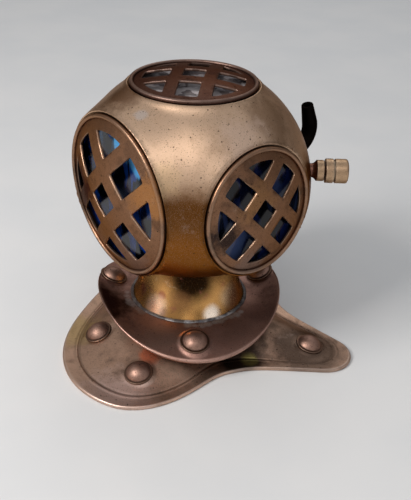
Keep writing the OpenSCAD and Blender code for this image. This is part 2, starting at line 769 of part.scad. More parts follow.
module keeper_top() color(frame_tint) at_top() keeper(top_r);

// Rear plate and air inlet. The inlet's flange lies on a flat face at the plate's middle.
rear_crown = sag(rear_r - bead_r) - bead_r / 2;
inlet_face = seat(rear_r) + rear_crown - sag(inlet_flange_r + overlap);
inlet_nut_top = seat(rear_r) + rear_crown - grille_t - sag(inlet_nut_r) - seat_gap;

module rear_plate() color(grille_tint) difference() {
    at_rear() domed_disc(rear_r);
    at_inlet() translate([0, 0, inlet_face]) cylinder(r = inlet_flange_r + pad_show, h = 5);
    at_inlet() cylinder(r = stem_r + seat_gap, h = 2 * shell_r);
}

module at_inlet() {
    on_bonnet() rotate(rear_spread) translate([0, 0, shell_z + rear_rise]) rotate([0, 90, 0]) children();
}

module gooseneck() color("#3a2f2a") difference() {
    union() {
        at_inlet() {
            translate([0, 0, inlet_face]) cylinder(r = inlet_flange_r, h = inlet_flange_t);
            translate([0, 0, inlet_face]) cylinder(r = pipe_r, h = bend_at - inlet_face);
            translate([0, 0, inlet_face - inlet_stem_l]) cylinder(r = stem_r, h = inlet_stem_l + overlap);
        }
        along_bend() rotate([90, 0, 0]) rotate_extrude(angle = bend_deg) translate([bend_r, 0]) circle(r = pipe_r);
        at_mouth() translate([0, 0, -taper_l - overlap])
            cylinder(r1 = pipe_r - mouth_step, r2 = mouth_r, h = taper_l + overlap);
    }
    at_mouth() translate([0, 0, -hose_bore_l]) cylinder(r = hose_bore_r, h = hose_bore_l + 1);
}

// The bend lies in the upright plane through the rear plate's axis and starts level.
module along_bend() {
    on_bonnet() rotate(rear_spread) translate([bend_at, 0, shell_z + rear_rise + bend_r])
        rotate([0, 90, 0]) children();
}

module at_mouth() {
    on_bonnet() rotate(rear_spread) translate([bend_at, 0, shell_z + rear_rise + bend_r])
        rotate([0, -bend_deg, 0]) translate([0, 0, -bend_r])
        rotate([0, 90, 0]) translate([0, 0, taper_l]) children();
}

module inlet_nut() color("#8a6a3c") at_inlet() translate([0, 0, inlet_nut_top - inlet_nut_t]) difference() {
    cylinder(r = inlet_nut_r, h = inlet_nut_t, $fn = 6);
    translate([0, 0, -1]) cylinder(r = stem_r + seat_gap, h = inlet_nut_t + 2);
}

// Exhaust valve. Its nut lies against the inside of the shell.
valve_spread = rear_spread - atan(frame_r(rear_r) / (seat(rear_r) - frame_depth))
    - asin((inner_nut_r * cos(30) + valve_gap) / (shell_r - shell_wall));
valve_nut_top = sqrt(pow(shell_r - shell_wall, 2) - pow(valve_rise + inner_nut_r, 2)) - seat_gap;
stem_start = valve_nut_top - inner_nut_t - overlap;

module valve_stem() color("#5d4a38") at_valve() {
    translate([0, 0, stem_start]) cylinder(r = stem_r, h = valve_at - stem_start);
    translate([0, 0, valve_at - stem_flare_l]) cylinder(r1 = stem_r, r2 = stem_flare_r, h = stem_flare_l);
    translate([0, 0, valve_at - overlap])
        cylinder(r = spindle_r, h = overlap + valve_body_l + groove_w + cap_ring_l + spindle_l);
}

module valve_body() color("#8c7250") at_valve() translate([0, 0, valve_at]) difference() {
    cylinder(r = valve_body_r, h = valve_body_l);
    translate([0, 0, -1]) cylinder(r = spindle_r + seat_gap, h = valve_body_l + 2);
}

module valve_nut() color("#8a6a3c") at_valve() translate([0, 0, valve_nut_top - inner_nut_t]) difference() {
    cylinder(r = inner_nut_r, h = inner_nut_t, $fn = 6);
    translate([0, 0, -1]) cylinder(r = stem_r + seat_gap, h = inner_nut_t + 2);
}

module valve_cap() color("#9a8260") at_valve() translate([0, 0, valve_at + valve_body_l + groove_w]) difference() {
    union() {
        cylinder(r = cap_r, h = cap_ring_l);
        cylinder(r = cap_r - groove_d, h = cap_ring_l + groove_w + 1);
        translate([0, 0, cap_ring_l + groove_w]) cylinder(r = cap_r, h = cap_knob_l - cap_bevel);
        translate([0, 0, cap_ring_l + groove_w + cap_knob_l - cap_bevel])
            cylinder(r1 = cap_r, r2 = cap_r - cap_bevel, h = cap_bevel);
    }
    translate([0, 0, -1]) cylinder(r = spindle_r + cap_fit, h = 1 + cap_ring_l + cap_bore_l);
}

breastplate();
plate_washers();
plate_rivets();
collar();
collar_washers();
collar_rivets();
solder_ring();
neck_ring();
clamp_ring();
bonnet_shell();
bonnet_ring();
rear_plate();
frame_front();
frame_left();
frame_right();
frame_top();
frame_rear();
grille_front();
grille_left();
grille_right();
grille_top();
pane_front();
pane_left();
pane_right();
pane_top();
keeper_front();
keeper_left();
keeper_right();
keeper_top();
gooseneck();
inlet_nut();
valve_stem();
valve_body();
valve_nut();
valve_cap();
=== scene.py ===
"""The diving helmet dressed for rendering: its pieces, their finishes, the floor, the light and the camera."""

import json
import logging
from abc import ABC, abstractmethod
from dataclasses import dataclass, field
from enum import Enum
from typing import NamedTuple

import bmesh
import bpy
import numpy as np
from mathutils import Matrix, Vector
from mathutils.geometry import delaunay_2d_cdt

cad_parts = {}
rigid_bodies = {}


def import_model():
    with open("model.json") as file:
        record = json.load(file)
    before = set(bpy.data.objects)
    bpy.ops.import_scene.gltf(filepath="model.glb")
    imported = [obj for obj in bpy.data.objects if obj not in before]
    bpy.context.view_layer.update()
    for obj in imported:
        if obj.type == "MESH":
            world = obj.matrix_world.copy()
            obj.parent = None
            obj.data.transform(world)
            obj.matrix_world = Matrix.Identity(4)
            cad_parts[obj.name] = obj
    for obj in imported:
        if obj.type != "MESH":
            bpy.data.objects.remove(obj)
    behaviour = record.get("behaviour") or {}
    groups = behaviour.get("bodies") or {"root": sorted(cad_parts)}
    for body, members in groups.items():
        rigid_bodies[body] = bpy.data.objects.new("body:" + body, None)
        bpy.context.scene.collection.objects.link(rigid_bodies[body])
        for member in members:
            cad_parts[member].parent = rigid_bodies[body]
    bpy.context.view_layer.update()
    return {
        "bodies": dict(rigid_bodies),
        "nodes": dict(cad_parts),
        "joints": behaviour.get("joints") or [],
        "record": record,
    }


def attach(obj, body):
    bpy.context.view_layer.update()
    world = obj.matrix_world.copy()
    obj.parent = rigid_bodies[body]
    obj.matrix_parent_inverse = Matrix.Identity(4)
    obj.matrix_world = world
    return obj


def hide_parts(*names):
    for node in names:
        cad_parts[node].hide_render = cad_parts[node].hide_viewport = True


Array = np.ndarray
Colour = tuple[int, int, int]
Point = tuple[float, float, float]
Profile = list[tuple[float, float]]
LOG = logging.getLogger("helmet")
MM = 0.001
TAU = 2 * np.pi

# The frame's driving sizes, in millimetres, as the part's source gives them.
AXIS = np.array([-13.1015, 0.0])
SHELL_Z = 70.0
SHELL_R = 50.0
SHELL_DEPTH = 33.0
SHELL_SQUARE = 2.4
FRONT_BEARING = -118.9
CENTRE = np.array([*AXIS, SHELL_Z])

# How finely round forms are divided.
TURN_STEPS = 200
BEAD_STEPS = 240
RAYS = 112


class Body(Enum):
    """The bodies that a piece can ride on."""

    BASE = "base"
    BONNET = "bonnet"
    CAP = "cap"


# ---------------------------------------------------------------- forms
@dataclass
class Form:
    """Points in millimetres, the faces between them, and values carried by the points."""

    points: Array
    faces: list[Array]
    marks: dict[str, Array] = field(default_factory=dict)

    def placed(self, place: Array) -> "Form":
        """The form moved by a 4 by 4 matrix in millimetres."""
        return Form(self.points @ place[:3, :3].T + place[:3, 3], self.faces, self.marks)


def joined(forms: list[Form]) -> Form:
    """Puts several forms into one.

    Args:
        forms: the forms, whose marks carry the same names or are missing.

    Returns:
        One form; a missing mark counts as 0.
    """
    starts = np.cumsum([0] + [len(f.points) for f in forms])
    faces = [face + start for form, start in zip(forms, starts) for face in form.faces]
    marks = {
        name: np.concatenate([f.marks.get(name, np.zeros(len(f.points))) for f in forms])
        for name in sorted({name for form in forms for name in form.marks})
    }
    return Form(np.concatenate([f.points for f in forms]), faces, marks)


def lattice(rows: int, columns: int, ring_rows: bool = False, ring_columns: bool = False) -> Array:
    """Four-sided faces over a grid of points, row after row.

    Args:
        rows: rows of points.
        columns: points in a row.
        ring_rows: the last row joins the first.
        ring_columns: the last column joins the first.

    Returns:
        The faces, four point numbers each.
    """
    i, j = np.meshgrid(
        np.arange(rows if ring_rows else rows - 1),
        np.arange(columns if ring_columns else columns - 1),
        indexing="ij",
    )
    down, right = (i + 1) % rows, (j + 1) % columns
    quad = [i * columns + j, down * columns + j, down * columns + right, i * columns + right]
    return np.stack(quad, -1).reshape(-1, 4)


def surface(points: Array, ring_rows: bool = False, ring_columns: bool = False, **marks: Array) -> Form:
    """A form over a grid of points.

    Args:
        points: the grid, of shape rows, columns, 3.
        ring_rows: the last row joins the first.
        ring_columns: the last column joins the first.
        marks: values for each point or each row of the grid.

    Returns:
        The form.
    """
    shape = points.shape[:2]
    spread = {key: np.broadcast_to(value, shape).ravel() for key, value in marks.items()}
    return Form(points.reshape(-1, 3), [lattice(*shape, ring_rows, ring_columns)], spread)


def resampled(profile: Profile, step: float) -> Array:
    """Points along a broken line, no further apart than a step, its corners kept.

    Args:
        profile: the corners.
        step: longest distance between two points.

    Returns:
        The points, two numbers each.
    """
    corners = np.array(profile, float)
    counts = np.maximum(1, np.ceil(np.hypot(*np.diff(corners, axis=0).T) / step).astype(int))
    parts = [
        a + (b - a) * np.linspace(0, 1, n, endpoint=False)[:, None]
        for a, b, n in zip(corners[:-1], corners[1:], counts)
    ]
    return np.concatenate(parts + [corners[-1:]])


def polar(r: float | Array, a: Array, z: float | Array) -> Array:
    """Points at distance r from Z, angle a in radians and height z."""
    return np.stack(np.broadcast_arrays(r * np.cos(a), r * np.sin(a), z), -1)


def circle(count: int) -> Array:
    """Unit vectors at equal angles, the first along X."""
    t = np.linspace(0, TAU, count, endpoint=False)
    return np.stack([np.cos(t), np.sin(t)], -1)


def revolved(
    profile: Array,
    segments: int,
    ring: bool = False,
    wobble: float = 0.0,
    seed: float = 0.0,
    **marks: Array,
) -> Form:
    """A profile of radius and height turned about the Z axis: x = r cos a, y = r sin a, z = height.

    Args:
        profile: radius and height of each point, in order.
        segments: steps round the turn.
        ring: the profile's last point joins its first.
        wobble: how far the radius strays, as slow waves round the turn.
        seed: shifts the waves.
        marks: values for each point of the profile.

    Returns:
        The form; points on the axis are merged when it becomes a mesh.
    """
    a = np.linspace(0, TAU, segments, endpoint=False)
    r, z = np.asarray(profile, float).T[:, :, None]
    waves = np.sin(3 * a + seed) + 0.6 * np.sin(5 * a + 2.1 * seed) + 0.4 * np.sin(8 * a + 3.3 * seed)
    rows = {key: np.asarray(value, float)[:, None] for key, value in marks.items()}
    return surface(polar(r * (1 + wobble * waves), a, z), ring_rows=ring, ring_columns=True, **rows)


def arc(centre: tuple[float, float], radius: float, start: float, end: float, steps: int) -> Profile:
    """Points on an arc in a profile's plane: centre + radius (cos t, sin t).

    Args:
        centre: the arc's centre.
        radius: its radius.
        start: first angle in degrees.
        end: last angle in degrees.
        steps: steps between them.

    Returns:
        The points in order.
    """
    t = np.radians(np.linspace(start, end, steps + 1))
    return [(centre[0] + radius * np.cos(k), centre[1] + radius * np.sin(k)) for k in t]


def shift(x: float, y: float, z: float) -> Array:
    """The matrix of a move."""
    return np.array(Matrix.Translation((x, y, z)))


def turn(degrees: float, axis: str) -> Array:
    """The matrix of a turn about X, Y or Z."""
    return np.array(Matrix.Rotation(np.radians(degrees), 4, axis))


def on_axis() -> Array:
    """The matrix that moves a form to the neck's axis."""
    return shift(AXIS[0], AXIS[1], 0)


def soft_max(a: Array, b: Array, width: float) -> Array:
    """The larger of two values, rounded where they meet: max(a, b) + h^2 width / 4, h = 1 - |a - b| / width.

    Args:
        a: first values.
        b: second values.
        width: how wide the change is; h counts as 0 outside it.

    Returns:
        The soft maximum.
    """
    near = np.maximum(0, 1 - np.abs(a - b) / width)
    return np.maximum(a, b) + near**2 * width / 4


def make_piece(
    name: str,
    node: str,
    form: Form,
    body: Body,
    finish: bpy.types.Material,
    sharp: float = 40.0,
    wall: float = 0.0,
) -> None:
    """Turns a form into an object that rides on a body in place of a CAD node.

    Args:
        name: the object's name.
        node: the CAD node that it replaces.
        form: the form, in millimetres, in its place.
        body: what it rides on.
        finish: its material.
        sharp: edges bent by more than this many degrees stay crisp.
        wall: thickness given inwards by a modifier, or 0.
    """
    mesh = bpy.data.meshes.new(name)
    points = form.points * MM
    mesh.vertices.add(len(points))
    mesh.vertices.foreach_set("co", points.astype(np.float32).ravel())
    sizes = np.concatenate([np.full(len(f), f.shape[1]) for f in form.faces])
    corners = np.concatenate([f.ravel() for f in form.faces])
    mesh.loops.add(len(corners))
    mesh.loops.foreach_set("vertex_index", corners.astype(np.int32))
    mesh.polygons.add(len(sizes))
    mesh.polygons.foreach_set("loop_start", np.concatenate([[0], np.cumsum(sizes)[:-1]]).astype(np.int32))
    for key, values in form.marks.items():
        mesh.attributes.new(key, "FLOAT", "POINT").data.foreach_set("value", values.astype(np.float32))
    mesh.update(calc_edges=True)
    work = bmesh.new()
    work.from_mesh(mesh)
    bmesh.ops.remove_doubles(work, verts=work.verts, dist=2e-6)
    if not wall:
        bmesh.ops.recalc_face_normals(work, faces=work.faces)
    work.to_mesh(mesh)
    work.free()
    mesh.validate()
    mesh.shade_smooth()
    mesh.set_sharp_from_angle(angle=np.radians(sharp))
    piece = bpy.data.objects.new(name, mesh)
    bpy.context.scene.collection.objects.link(piece)
    mesh.materials.append(finish)
    if wall:
        solid = piece.modifiers.new("wall", "SOLIDIFY")
        solid.thickness = wall * MM
        solid.offset = -1
    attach(piece, body.value)
    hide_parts(node)
    LOG.info("%s: %d faces on %s", name, len(mesh.polygons), body.value)


# ---------------------------------------------------------------- shader maths
def linear(colour: Colour) -> tuple[float, float, float, float]:
    """A colour of 0 to 255 as the shader's linear values.

    Args:
        colour: red, green and blue.

    Returns:
        The linear values with an alpha of 1.
    """
    c = np.array(colour) / 255
    values = np.where(c <= 0.04045, c / 12.92, ((c + 0.055) / 1.055) ** 2.4)
    return (float(values[0]), float(values[1]), float(values[2]), 1.0)


class Value:
    """A number in a node tree, with Python's operators; each one adds a Math node."""

    def __init__(self, nodes: "Nodes", socket: bpy.types.NodeSocket) -> None:
        """Wraps a socket of a tree."""
        self.nodes = nodes
        self.socket = socket

    def _math(self, operation: str, first: object, second: object, clamp: bool = False) -> "Value":
        """Adds one Math node of two values."""
        node = self.nodes.add("ShaderNodeMath", {"operation": operation, "use_clamp": clamp}, {0: first, 1: second})
        return Value(self.nodes, node.outputs[0])

    def __add__(self, other: object) -> "Value":
        """Sum."""
        return self._math("ADD", self, other)

    def __radd__(self, other: object) -> "Value":
        """Sum, the other way round."""
        return self._math("ADD", other, self)

    def __sub__(self, other: object) -> "Value":
        """Difference."""
        return self._math("SUBTRACT", self, other)

    def __rsub__(self, other: object) -> "Value":
        """Difference, the other way round."""
        return self._math("SUBTRACT", other, self)

    def __mul__(self, other: object) -> "Value":
        """Product."""
        return self._math("MULTIPLY", self, other)

    def __rmul__(self, other: object) -> "Value":
        """Product, the other way round."""
        return self._math("MULTIPLY", other, self)

    def step(self, low: float, high: float) -> "Value":
        """A smooth step, also where low is the larger of the two.

        Args:
            low: where the step is 0.
            high: where the step is 1.

        Returns:
            The step, 0 to 1.
        """
        falls = float(low > high)
        inputs = {0: self, 1: min(low, high), 2: max(low, high), 3: falls, 4: 1 - falls}
        node = self.nodes.add("ShaderNodeMapRange", {"interpolation_type": "SMOOTHSTEP"}, inputs)
        return Value(self.nodes, node.outputs[0])

    def clamped(self) -> "Value":
        """The value held between 0 and 1."""
        return self._math("ADD", self, 0.0, clamp=True)


class Nodes:
    """A node tree under construction."""

    def __init__(self, tree: bpy.types.NodeTree) -> None:
        """Takes the tree to add to."""
        self.tree = tree

    def add(self, kind: str, settings: dict[str, object] | None = None, inputs: dict | None = None) -> bpy.types.Node:
        """Adds any node.

        Args:
            kind: the node's type.
            settings: its properties, set first.
            inputs: values, sockets or Values for its input sockets, by name or number.

        Returns:
            The node.
        """
        node = self.tree.nodes.new(kind)
        for key, value in (settings or {}).items():
            setattr(node, key, value)
        for key, value in (inputs or {}).items():
            source = value.socket if isinstance(value, Value) else value
            if isinstance(source, bpy.types.NodeSocket):
                self.tree.links.new(source, node.inputs[key])
            else:
                node.inputs[key].default_value = source
        return node


class Shader(Nodes):
    """A material under construction."""

    def __init__(self, name: str) -> None:
        """Starts an empty material.

        Args:
            name: the material's name.
        """
        self.material = bpy.data.materials.new(name)
        self.material.use_nodes = True
        super().__init__(self.material.node_tree)
        self.tree.nodes.clear()
        self.place = self.add("ShaderNodeTexCoord").outputs["Object"]

    def noise(
        self,
        size: float,
        detail: float = 3.0,
        rough: float = 0.5,
        at: Point = (0, 0, 0),
        squash: Point = (1, 1, 1),
    ) -> Value:
        """Noise whose features are about size millimetres across.

        Args:
            size: size of a feature.
            detail: finer octaves.
            rough: their strength.
            at: moves the pattern.
            squash: stretches the pattern along X, Y and Z.

        Returns:
            The noise, 0 to 1.
        """
        scale = tuple(k / (size * MM) for k in squash)
        turned = {"Vector": self.place, "Location": at, "Scale": scale}
        mapped = self.add("ShaderNodeMapping", {"vector_type": "POINT"}, turned)
        inputs = {"Vector": mapped.outputs[0], "Scale": 1.0, "Detail": detail, "Roughness": rough}
        return Value(self, self.add("ShaderNodeTexNoise", None, inputs).outputs[0])

    def specks(self, spacing: float, radius: float, share: float, at: Point) -> Value:
        """Round specks on some of the cells of a jittered lattice.

        Args:
            spacing: distance between cells in millimetres.
            radius: radius of a speck in millimetres.
            share: share of the cells that have one.
            at: moves the pattern.

        Returns:
            1 in a speck, 0 outside.
        """
        scale = 1 / (spacing * MM)
        mapped = self.add("ShaderNodeMapping", None, {"Vector": self.place, "Location": at, "Scale": (scale,) * 3})
        cell = self.add("ShaderNodeTexVoronoi", {"feature": "F1"}, {"Vector": mapped.outputs[0], "Scale": 1.0})
        near = Value(self, cell.outputs["Distance"]).step(radius / spacing, 0.4 * radius / spacing)
        split = self.add("ShaderNodeSeparateColor", None, {0: cell.outputs["Color"]})
        chosen = Value(self, split.outputs[0]).step(share + 0.01, share - 0.01)
        return near * chosen

    def along(self, axis: str) -> Value:
        """A coordinate in metres."""
        node = self.add("ShaderNodeSeparateXYZ", None, {0: self.place})
        return Value(self, node.outputs["XYZ".index(axis)])

    def distance(self, centre: Point) -> Value:
        """Distance in metres from a place given in millimetres.

        Args:
            centre: the place.

        Returns:
            The distance.
        """
        spot = tuple(k * MM for k in centre)
        node = self.add("ShaderNodeVectorMath", {"operation": "DISTANCE"}, {0: self.place, 1: spot})
        return Value(self, node.outputs["Value"])

    def mark(self, name: str) -> Value:
        """A value that the piece's points carry; 0 where there is none."""
        node = self.add("ShaderNodeAttribute", {"attribute_name": name})
        return Value(self, node.outputs["Fac"])

    def mixed(self, mask: object, low: object, high: object) -> bpy.types.NodeSocket:
        """Goes from one colour to another by a mask.

        Args:
            mask: 0 gives low, 1 gives high.
            low: a colour or a socket.
            high: a colour or a socket.

        Returns:
            The colour's socket.
        """
        ends = [v if isinstance(v, bpy.types.NodeSocket) else linear(v) for v in (low, high)]
        return self.add("ShaderNodeMix", {"data_type": "RGBA"}, {0: mask, 6: ends[0], 7: ends[1]}).outputs[2]

    def bump(self, height: Value, strength: float, depth: float) -> bpy.types.NodeSocket:
        """A bumped normal.

        Args:
            height: the height, 0 to 1.
            strength: how much it shows.
            depth: real depth in millimetres.

        Returns:
            The normal's socket.
        """
        inputs = {"Height": height, "Strength": strength, "Distance": depth * MM}
        return self.add("ShaderNodeBump", None, inputs).outputs[0]

    def finish(self, inputs: dict) -> bpy.types.Material:
        """Ends the material with a Principled shader.

        Args:
            inputs: its sockets by name.

        Returns:
            The material.
        """
        shader = self.add("ShaderNodeBsdfPrincipled", None, inputs)
        self.add("ShaderNodeOutputMaterial", None, {0: shader.outputs[0]})
        return self.material


# ---------------------------------------------------------------- finishes
class Band(NamedTuple):
    """A tint that sets in with height: from start to full millimetres, upwards or downwards."""

    start: float
    full: float
    tint: Colour
    share: float


class Spot(NamedTuple):
    """A ragged patch of another tint round a place, in millimetres."""

    centre: Point
    reach: float
    tint: Colour
    share: float


@dataclass(frozen=True)
class AgedBrass:
    """Satin brass with patina: broad clouds, fine specks, pits, pale smudges, darkened seams (a painted shadow line
    beside the window frames and under the beads) and bright edges (partly rubbed, partly painted highlight).
    """

    name: str
    metal: Colour
    dark: Colour
    pale: Colour
    bands: tuple[Band, ...] = ()
    spots: tuple[Spot, ...] = ()
    rough: float = 0.36
    rough_swing: float = 0.16
    metallic: float = 0.97
    grain_share: float = 1.0
    cloud: float = 16.0
    cloud_share: float = 0.55
    speck_share: float = 0.5
    smudge_share: float = 0.5
    pit_depth: float = 0.12
    bump: float = 0.45
    edge_share: float = 0.6
    stain: Colour | None = None
    stray: float = 1.0
    rim_tint: tuple[float, float, float, float] = (0.45, 0.34, 0.28, 1.0)
    seed: float = 0.0

    def build(self) -> bpy.types.Material:
        """Makes the material.

        Returns:
            The material.
        """
        s = Shader(self.name)
        k = self.seed
        broad = s.noise(self.cloud, 5, 0.62, (k, 0.3 * k, 2 + k))
        middle = s.noise(self.cloud / 4, 4, 0.6, (3 + k, k, 0.2))
        fine = s.noise(0.5, 3, 0.7, (k, 7, k))
        grain = s.noise(0.22, 2, 0.5, (1, k, 3))
        patina = (broad.step(0.50, 0.68) * 0.7 + middle.step(0.52, 0.75) * 0.45).clamped() * self.cloud_share
        colour = self.tinted(s, s.mixed(patina, self.metal, self.dark), broad, middle)
        if self.stain:
            blot = s.noise(self.cloud * 0.6, 4, 0.7, (9 + k, 4, k)).step(0.56, 0.7)
            colour = s.mixed(blot * 0.55, colour, self.stain)
        smudge = s.noise(self.cloud * 0.55, 6, 0.72, (5, k, 11 + k)).step(0.58, 0.76)
        colour = s.mixed(smudge * self.smudge_share * 0.6, colour, self.pale)
        colour = s.mixed(fine.step(0.56, 0.68) * (0.6 * self.grain_share), colour, self.dark)
        colour = s.mixed(grain.step(0.6, 0.74) * (0.3 * self.grain_share), colour, self.pale)
        pits = s.specks(2.6, 0.42, self.speck_share, (k, 1, 2))
        dots = s.specks(1.0, 0.24, self.speck_share, (4, k, 2))
        colour = s.mixed((pits * 0.85 + dots * 0.6).clamped(), colour, self.darker(0.45))
        # Seams are darkened; beside the window frames and under the beads this is a painted shadow line.
        colour = s.mixed(s.mark("seam").clamped() * 0.85, colour, self.darker(0.3))
        # Edges are lightened towards the pale tint: partly rubbed brass, partly a painted highlight on beads, rims and
        # cut edges.
        edge = (s.mark("edge") * (0.6 + 0.8 * (middle - 0.5))).clamped() * self.edge_share
        colour = s.mixed(edge, colour, self.pale)
        rough = self.rough + self.rough_swing * (broad - 0.5) + 0.25 * patina + 0.12 * (fine - 0.5) - 0.1 * edge
        height = 0.5 * fine + 0.35 * grain + 0.6 * middle - 0.9 * pits - 0.5 * dots
        return s.finish({
            "Base Color": colour,
            "Roughness": rough.clamped(),
            "Metallic": self.metallic,
            "Specular Tint": self.rim_tint,
            "Normal": s.bump(height, self.bump, self.pit_depth),
        })

    def tinted(self, s: Shader, colour: bpy.types.NodeSocket, broad: Value, middle: Value) -> bpy.types.NodeSocket:
        """Lays the bands and spots over a colour, their borders made ragged by the clouds.

        Args:
            s: the material under construction.
            colour: the colour below.
            broad: the broad clouds.
            middle: the finer clouds.

        Returns:
            The colour's socket.
        """
        ripple = (middle - 0.5) * (6 * MM)
        for band in self.bands:
            mask = (s.along("Z") + ripple).step(band.start * MM, band.full * MM)
            colour = s.mixed(mask * band.share, colour, band.tint)
        for spot in self.spots:
            reach = spot.reach * MM
            ragged = (broad - 0.5) * (1.6 * reach) + (middle - 0.5) * (0.8 * reach)
            away = s.distance(spot.centre) + ragged * self.stray
            colour = s.mixed(away.step(reach, 0.35 * reach) * spot.share, colour, spot.tint)
        return colour

    def darker(self, share: float) -> Colour:
        """The dark tint, brought down to a share of itself."""
        return tuple(int(c * share) for c in self.dark)


@dataclass(frozen=True)
class Pane:
    """Thick dark glass with painted reflections: deep shadow, a tint painted as a blue reflection, a bright band of
    painted reflection along one direction, streaks of painted reflection, and dark streaks painted as the bars' shadow.
    """

    name: str
    deep: Colour
    tint: Colour
    light: Colour
    streak_reflection: Colour
    axis: Point
    middle: float
    spread: float
    seed: float = 0.0

    def build(self) -> bpy.types.Material:
        """Makes the material. The band of painted reflection runs from dark to light along axis, about a middle given
        in millimetres.

        Returns:
            The material.
        """
        s = Shader(self.name)
        x, y, z = self.axis
        height = s.along("X") * x + s.along("Y") * y + s.along("Z") * z
        shard = s.noise(11, 1, 0.3, (self.seed, 2, 3), (1, 1, 0.7))
        ragged = height + (shard - 0.5) * (4 * self.spread * MM)
        band = ragged.step((self.middle - self.spread) * MM, (self.middle + self.spread) * MM)
        # Patches of the tint: a painted reflection of blue surroundings.
        blue = s.noise(7, 2, 0.5, (self.seed, 6, 1), (1, 1, 0.6)).step(0.44, 0.56)
        streak = s.noise(3.5, 5, 0.75, (1, self.seed, 5), (1, 1, 0.3)).step(0.55, 0.72)
        # Dark streaks: painted shadow of the grille's bars.
        bar = s.noise(4.5, 1, 0.3, (self.seed, 4, 9), (1, 1, 0.25)).step(0.55, 0.59)
        colour = s.mixed(blue, self.deep, self.tint)
        colour = s.mixed(band * shard.step(0.46, 0.52), colour, self.light)
        colour = s.mixed(streak * 0.5, colour, self.streak_reflection)
        return s.finish({
            "Base Color": s.mixed(bar * 0.8, colour, self.deep),
            "Roughness": 0.06 + 0.16 * s.noise(6, 4, 0.6, (self.seed, 8, 1)),
            "Metallic": 0.0,
            "Specular IOR Level": 0.35,
            "Normal": s.bump(s.noise(14, 2, 0.5, (2, 2, self.seed)), 0.2, 0.4),
        })


@dataclass(frozen=True)
class Solder:
    """Dull residue, grey-white with bluish and dark blotches, darker away from one place."""

    name: str
    palest: Point
    near: float
    far: float

    def build(self) -> bpy.types.Material:
        """Makes the material.

        Returns:
            The material.
        """
        s = Shader(self.name)
        cloud = s.noise(4, 5, 0.65)
        fine = s.noise(0.8, 3, 0.6, (4, 0, 0))
        colour = s.mixed(cloud.step(0.42, 0.66), (168, 164, 162), (84, 88, 98))
        colour = s.mixed(s.noise(7, 4, 0.7, (0, 9, 0)).step(0.46, 0.6) * 0.85, colour, (50, 40, 36))
        away = s.distance(self.palest) + (cloud - 0.5) * (8 * MM)
        dull = s.mixed(0.75, colour, (46, 34, 30))
        colour = s.mixed(away.step(self.far * MM, self.near * MM), dull, colour)
        return s.finish({
            "Base Color": s.mixed(fine.step(0.55, 0.7) * 0.4, colour, (90, 80, 72)),
            "Roughness": 0.5 + 0.3 * (fine - 0.5),
            "Metallic": 0.3,
            "Normal": s.bump(0.6 * cloud + 0.4 * fine, 0.6, 0.25),
        })


def residue_spots() -> tuple[Spot, ...]:
    """The pale spots beside the neck's foot, in two runs along its edge: the right one paler than the left.

    Returns:
        The spots, run after run.
    """
    spots = []
    for start, end, pale, share in ((-66, -8, (196, 190, 188), 0.72), (-150, -112, (166, 154, 150), 0.55)):
        for bearing in range(start, end, 6):
            reach = 27.5 + 0.6 * np.sin(bearing * 0.9)
            x, y = AXIS + reach * np.array([np.cos(np.radians(bearing)), np.sin(np.radians(bearing))])
            spots.append(Spot((float(x), float(y), 15.6), 2.3 + 0.5 * float(np.sin(bearing * 1.7)), pale, share))
    return tuple(spots)


# Painted reflection and shade: below its upper half the shell turns golden-brown, and dark brown at its underside,
# darker towards the bottom.
PAINTED_LOW_REFLECTION = (
    Band(93, 82, (98, 56, 5), 0.96),
    Band(76, 64, (146, 88, 28), 0.55),
    Band(51, 43, (42, 21, 7), 0.9),
)
# The first two are pale smudges. The two dark brown patches, top left and upper right, are painted shade; the two
# bright patches, beside the front window and the side window, are painted highlights.
SMUDGES_AND_PAINTED_LIGHT = (
    Spot((-19.8, -32.9, 109.2), 3.4, (214, 206, 202), 0.5),
    Spot((-23.0, -33.0, 107.4), 2.0, (204, 192, 184), 0.3),
    Spot((-31.0, -23.0, 111.0), 13, (112, 78, 56), 0.75),
    Spot((21.6, -5.9, 105.6), 15, (112, 82, 58), 0.6),
    Spot((-4.8, -43.2, 90.0), 9, (232, 196, 150), 0.5),
    Spot((16, -22, 100), 14, (236, 204, 182), 0.5),
)
# Patches on the grilles: the near-black ones at the front grille's left border and the side grille's lower left are
# painted shade, the grey ones at the lower borders are painted sheen, and the golden ones are tone.
GRILLE_TONE_AND_PAINTED_LIGHT = (
    Spot((-51.5, -24.9, 68.0), 18, (34, 27, 27), 0.95),
    Spot((17.7, -36.6, 68.3), 9, (36, 31, 33), 0.9),
    Spot((-21.4, -40.0, 50.5), 13, (130, 108, 100), 0.6),
    Spot((-8.9, -47.1, 82.8), 14, (176, 118, 60), 0.5),
    Spot((24.0, -25.0, 52.0), 10, (124, 108, 102), 0.55),
    Spot((25.2, -25.8, 80.0), 12, (160, 116, 70), 0.4),
    Spot((10.5, -42.0, 66.0), 7, (44, 36, 36), 0.75),
)
# Patches on the neck: the large near-black one under the bonnet's lip is a painted dark reflection, the three small
# pink ones are tarnish, the pale and white ones are painted highlights, and the mid-brown one is painted shade.
TARNISH_AND_PAINTED_LIGHT = (
    Spot((-3.4, -19.0, 33.0), 13, (20, 7, 2), 0.98),
    Spot((-15.9, -21.8, 24.9), 2.6, (150, 80, 76), 0.6),
    Spot((-14.8, -24.1, 17.3), 2.4, (140, 78, 78), 0.6),
    Spot((-26.5, -17.6, 22.8), 3.6, (140, 84, 92), 0.5),
    Spot((5.5, -16.0, 17.6), 5.5, (252, 238, 222), 0.85),
    Spot((-18.6, -23.1, 18.2), 8.0, (252, 220, 190), 0.8),
    Spot((-7.4, -21.8, 23.5), 7.0, (110, 72, 48), 0.6),
    Spot((8.8, -5.2, 22.3), 8.0, (222, 190, 150), 0.8),
)
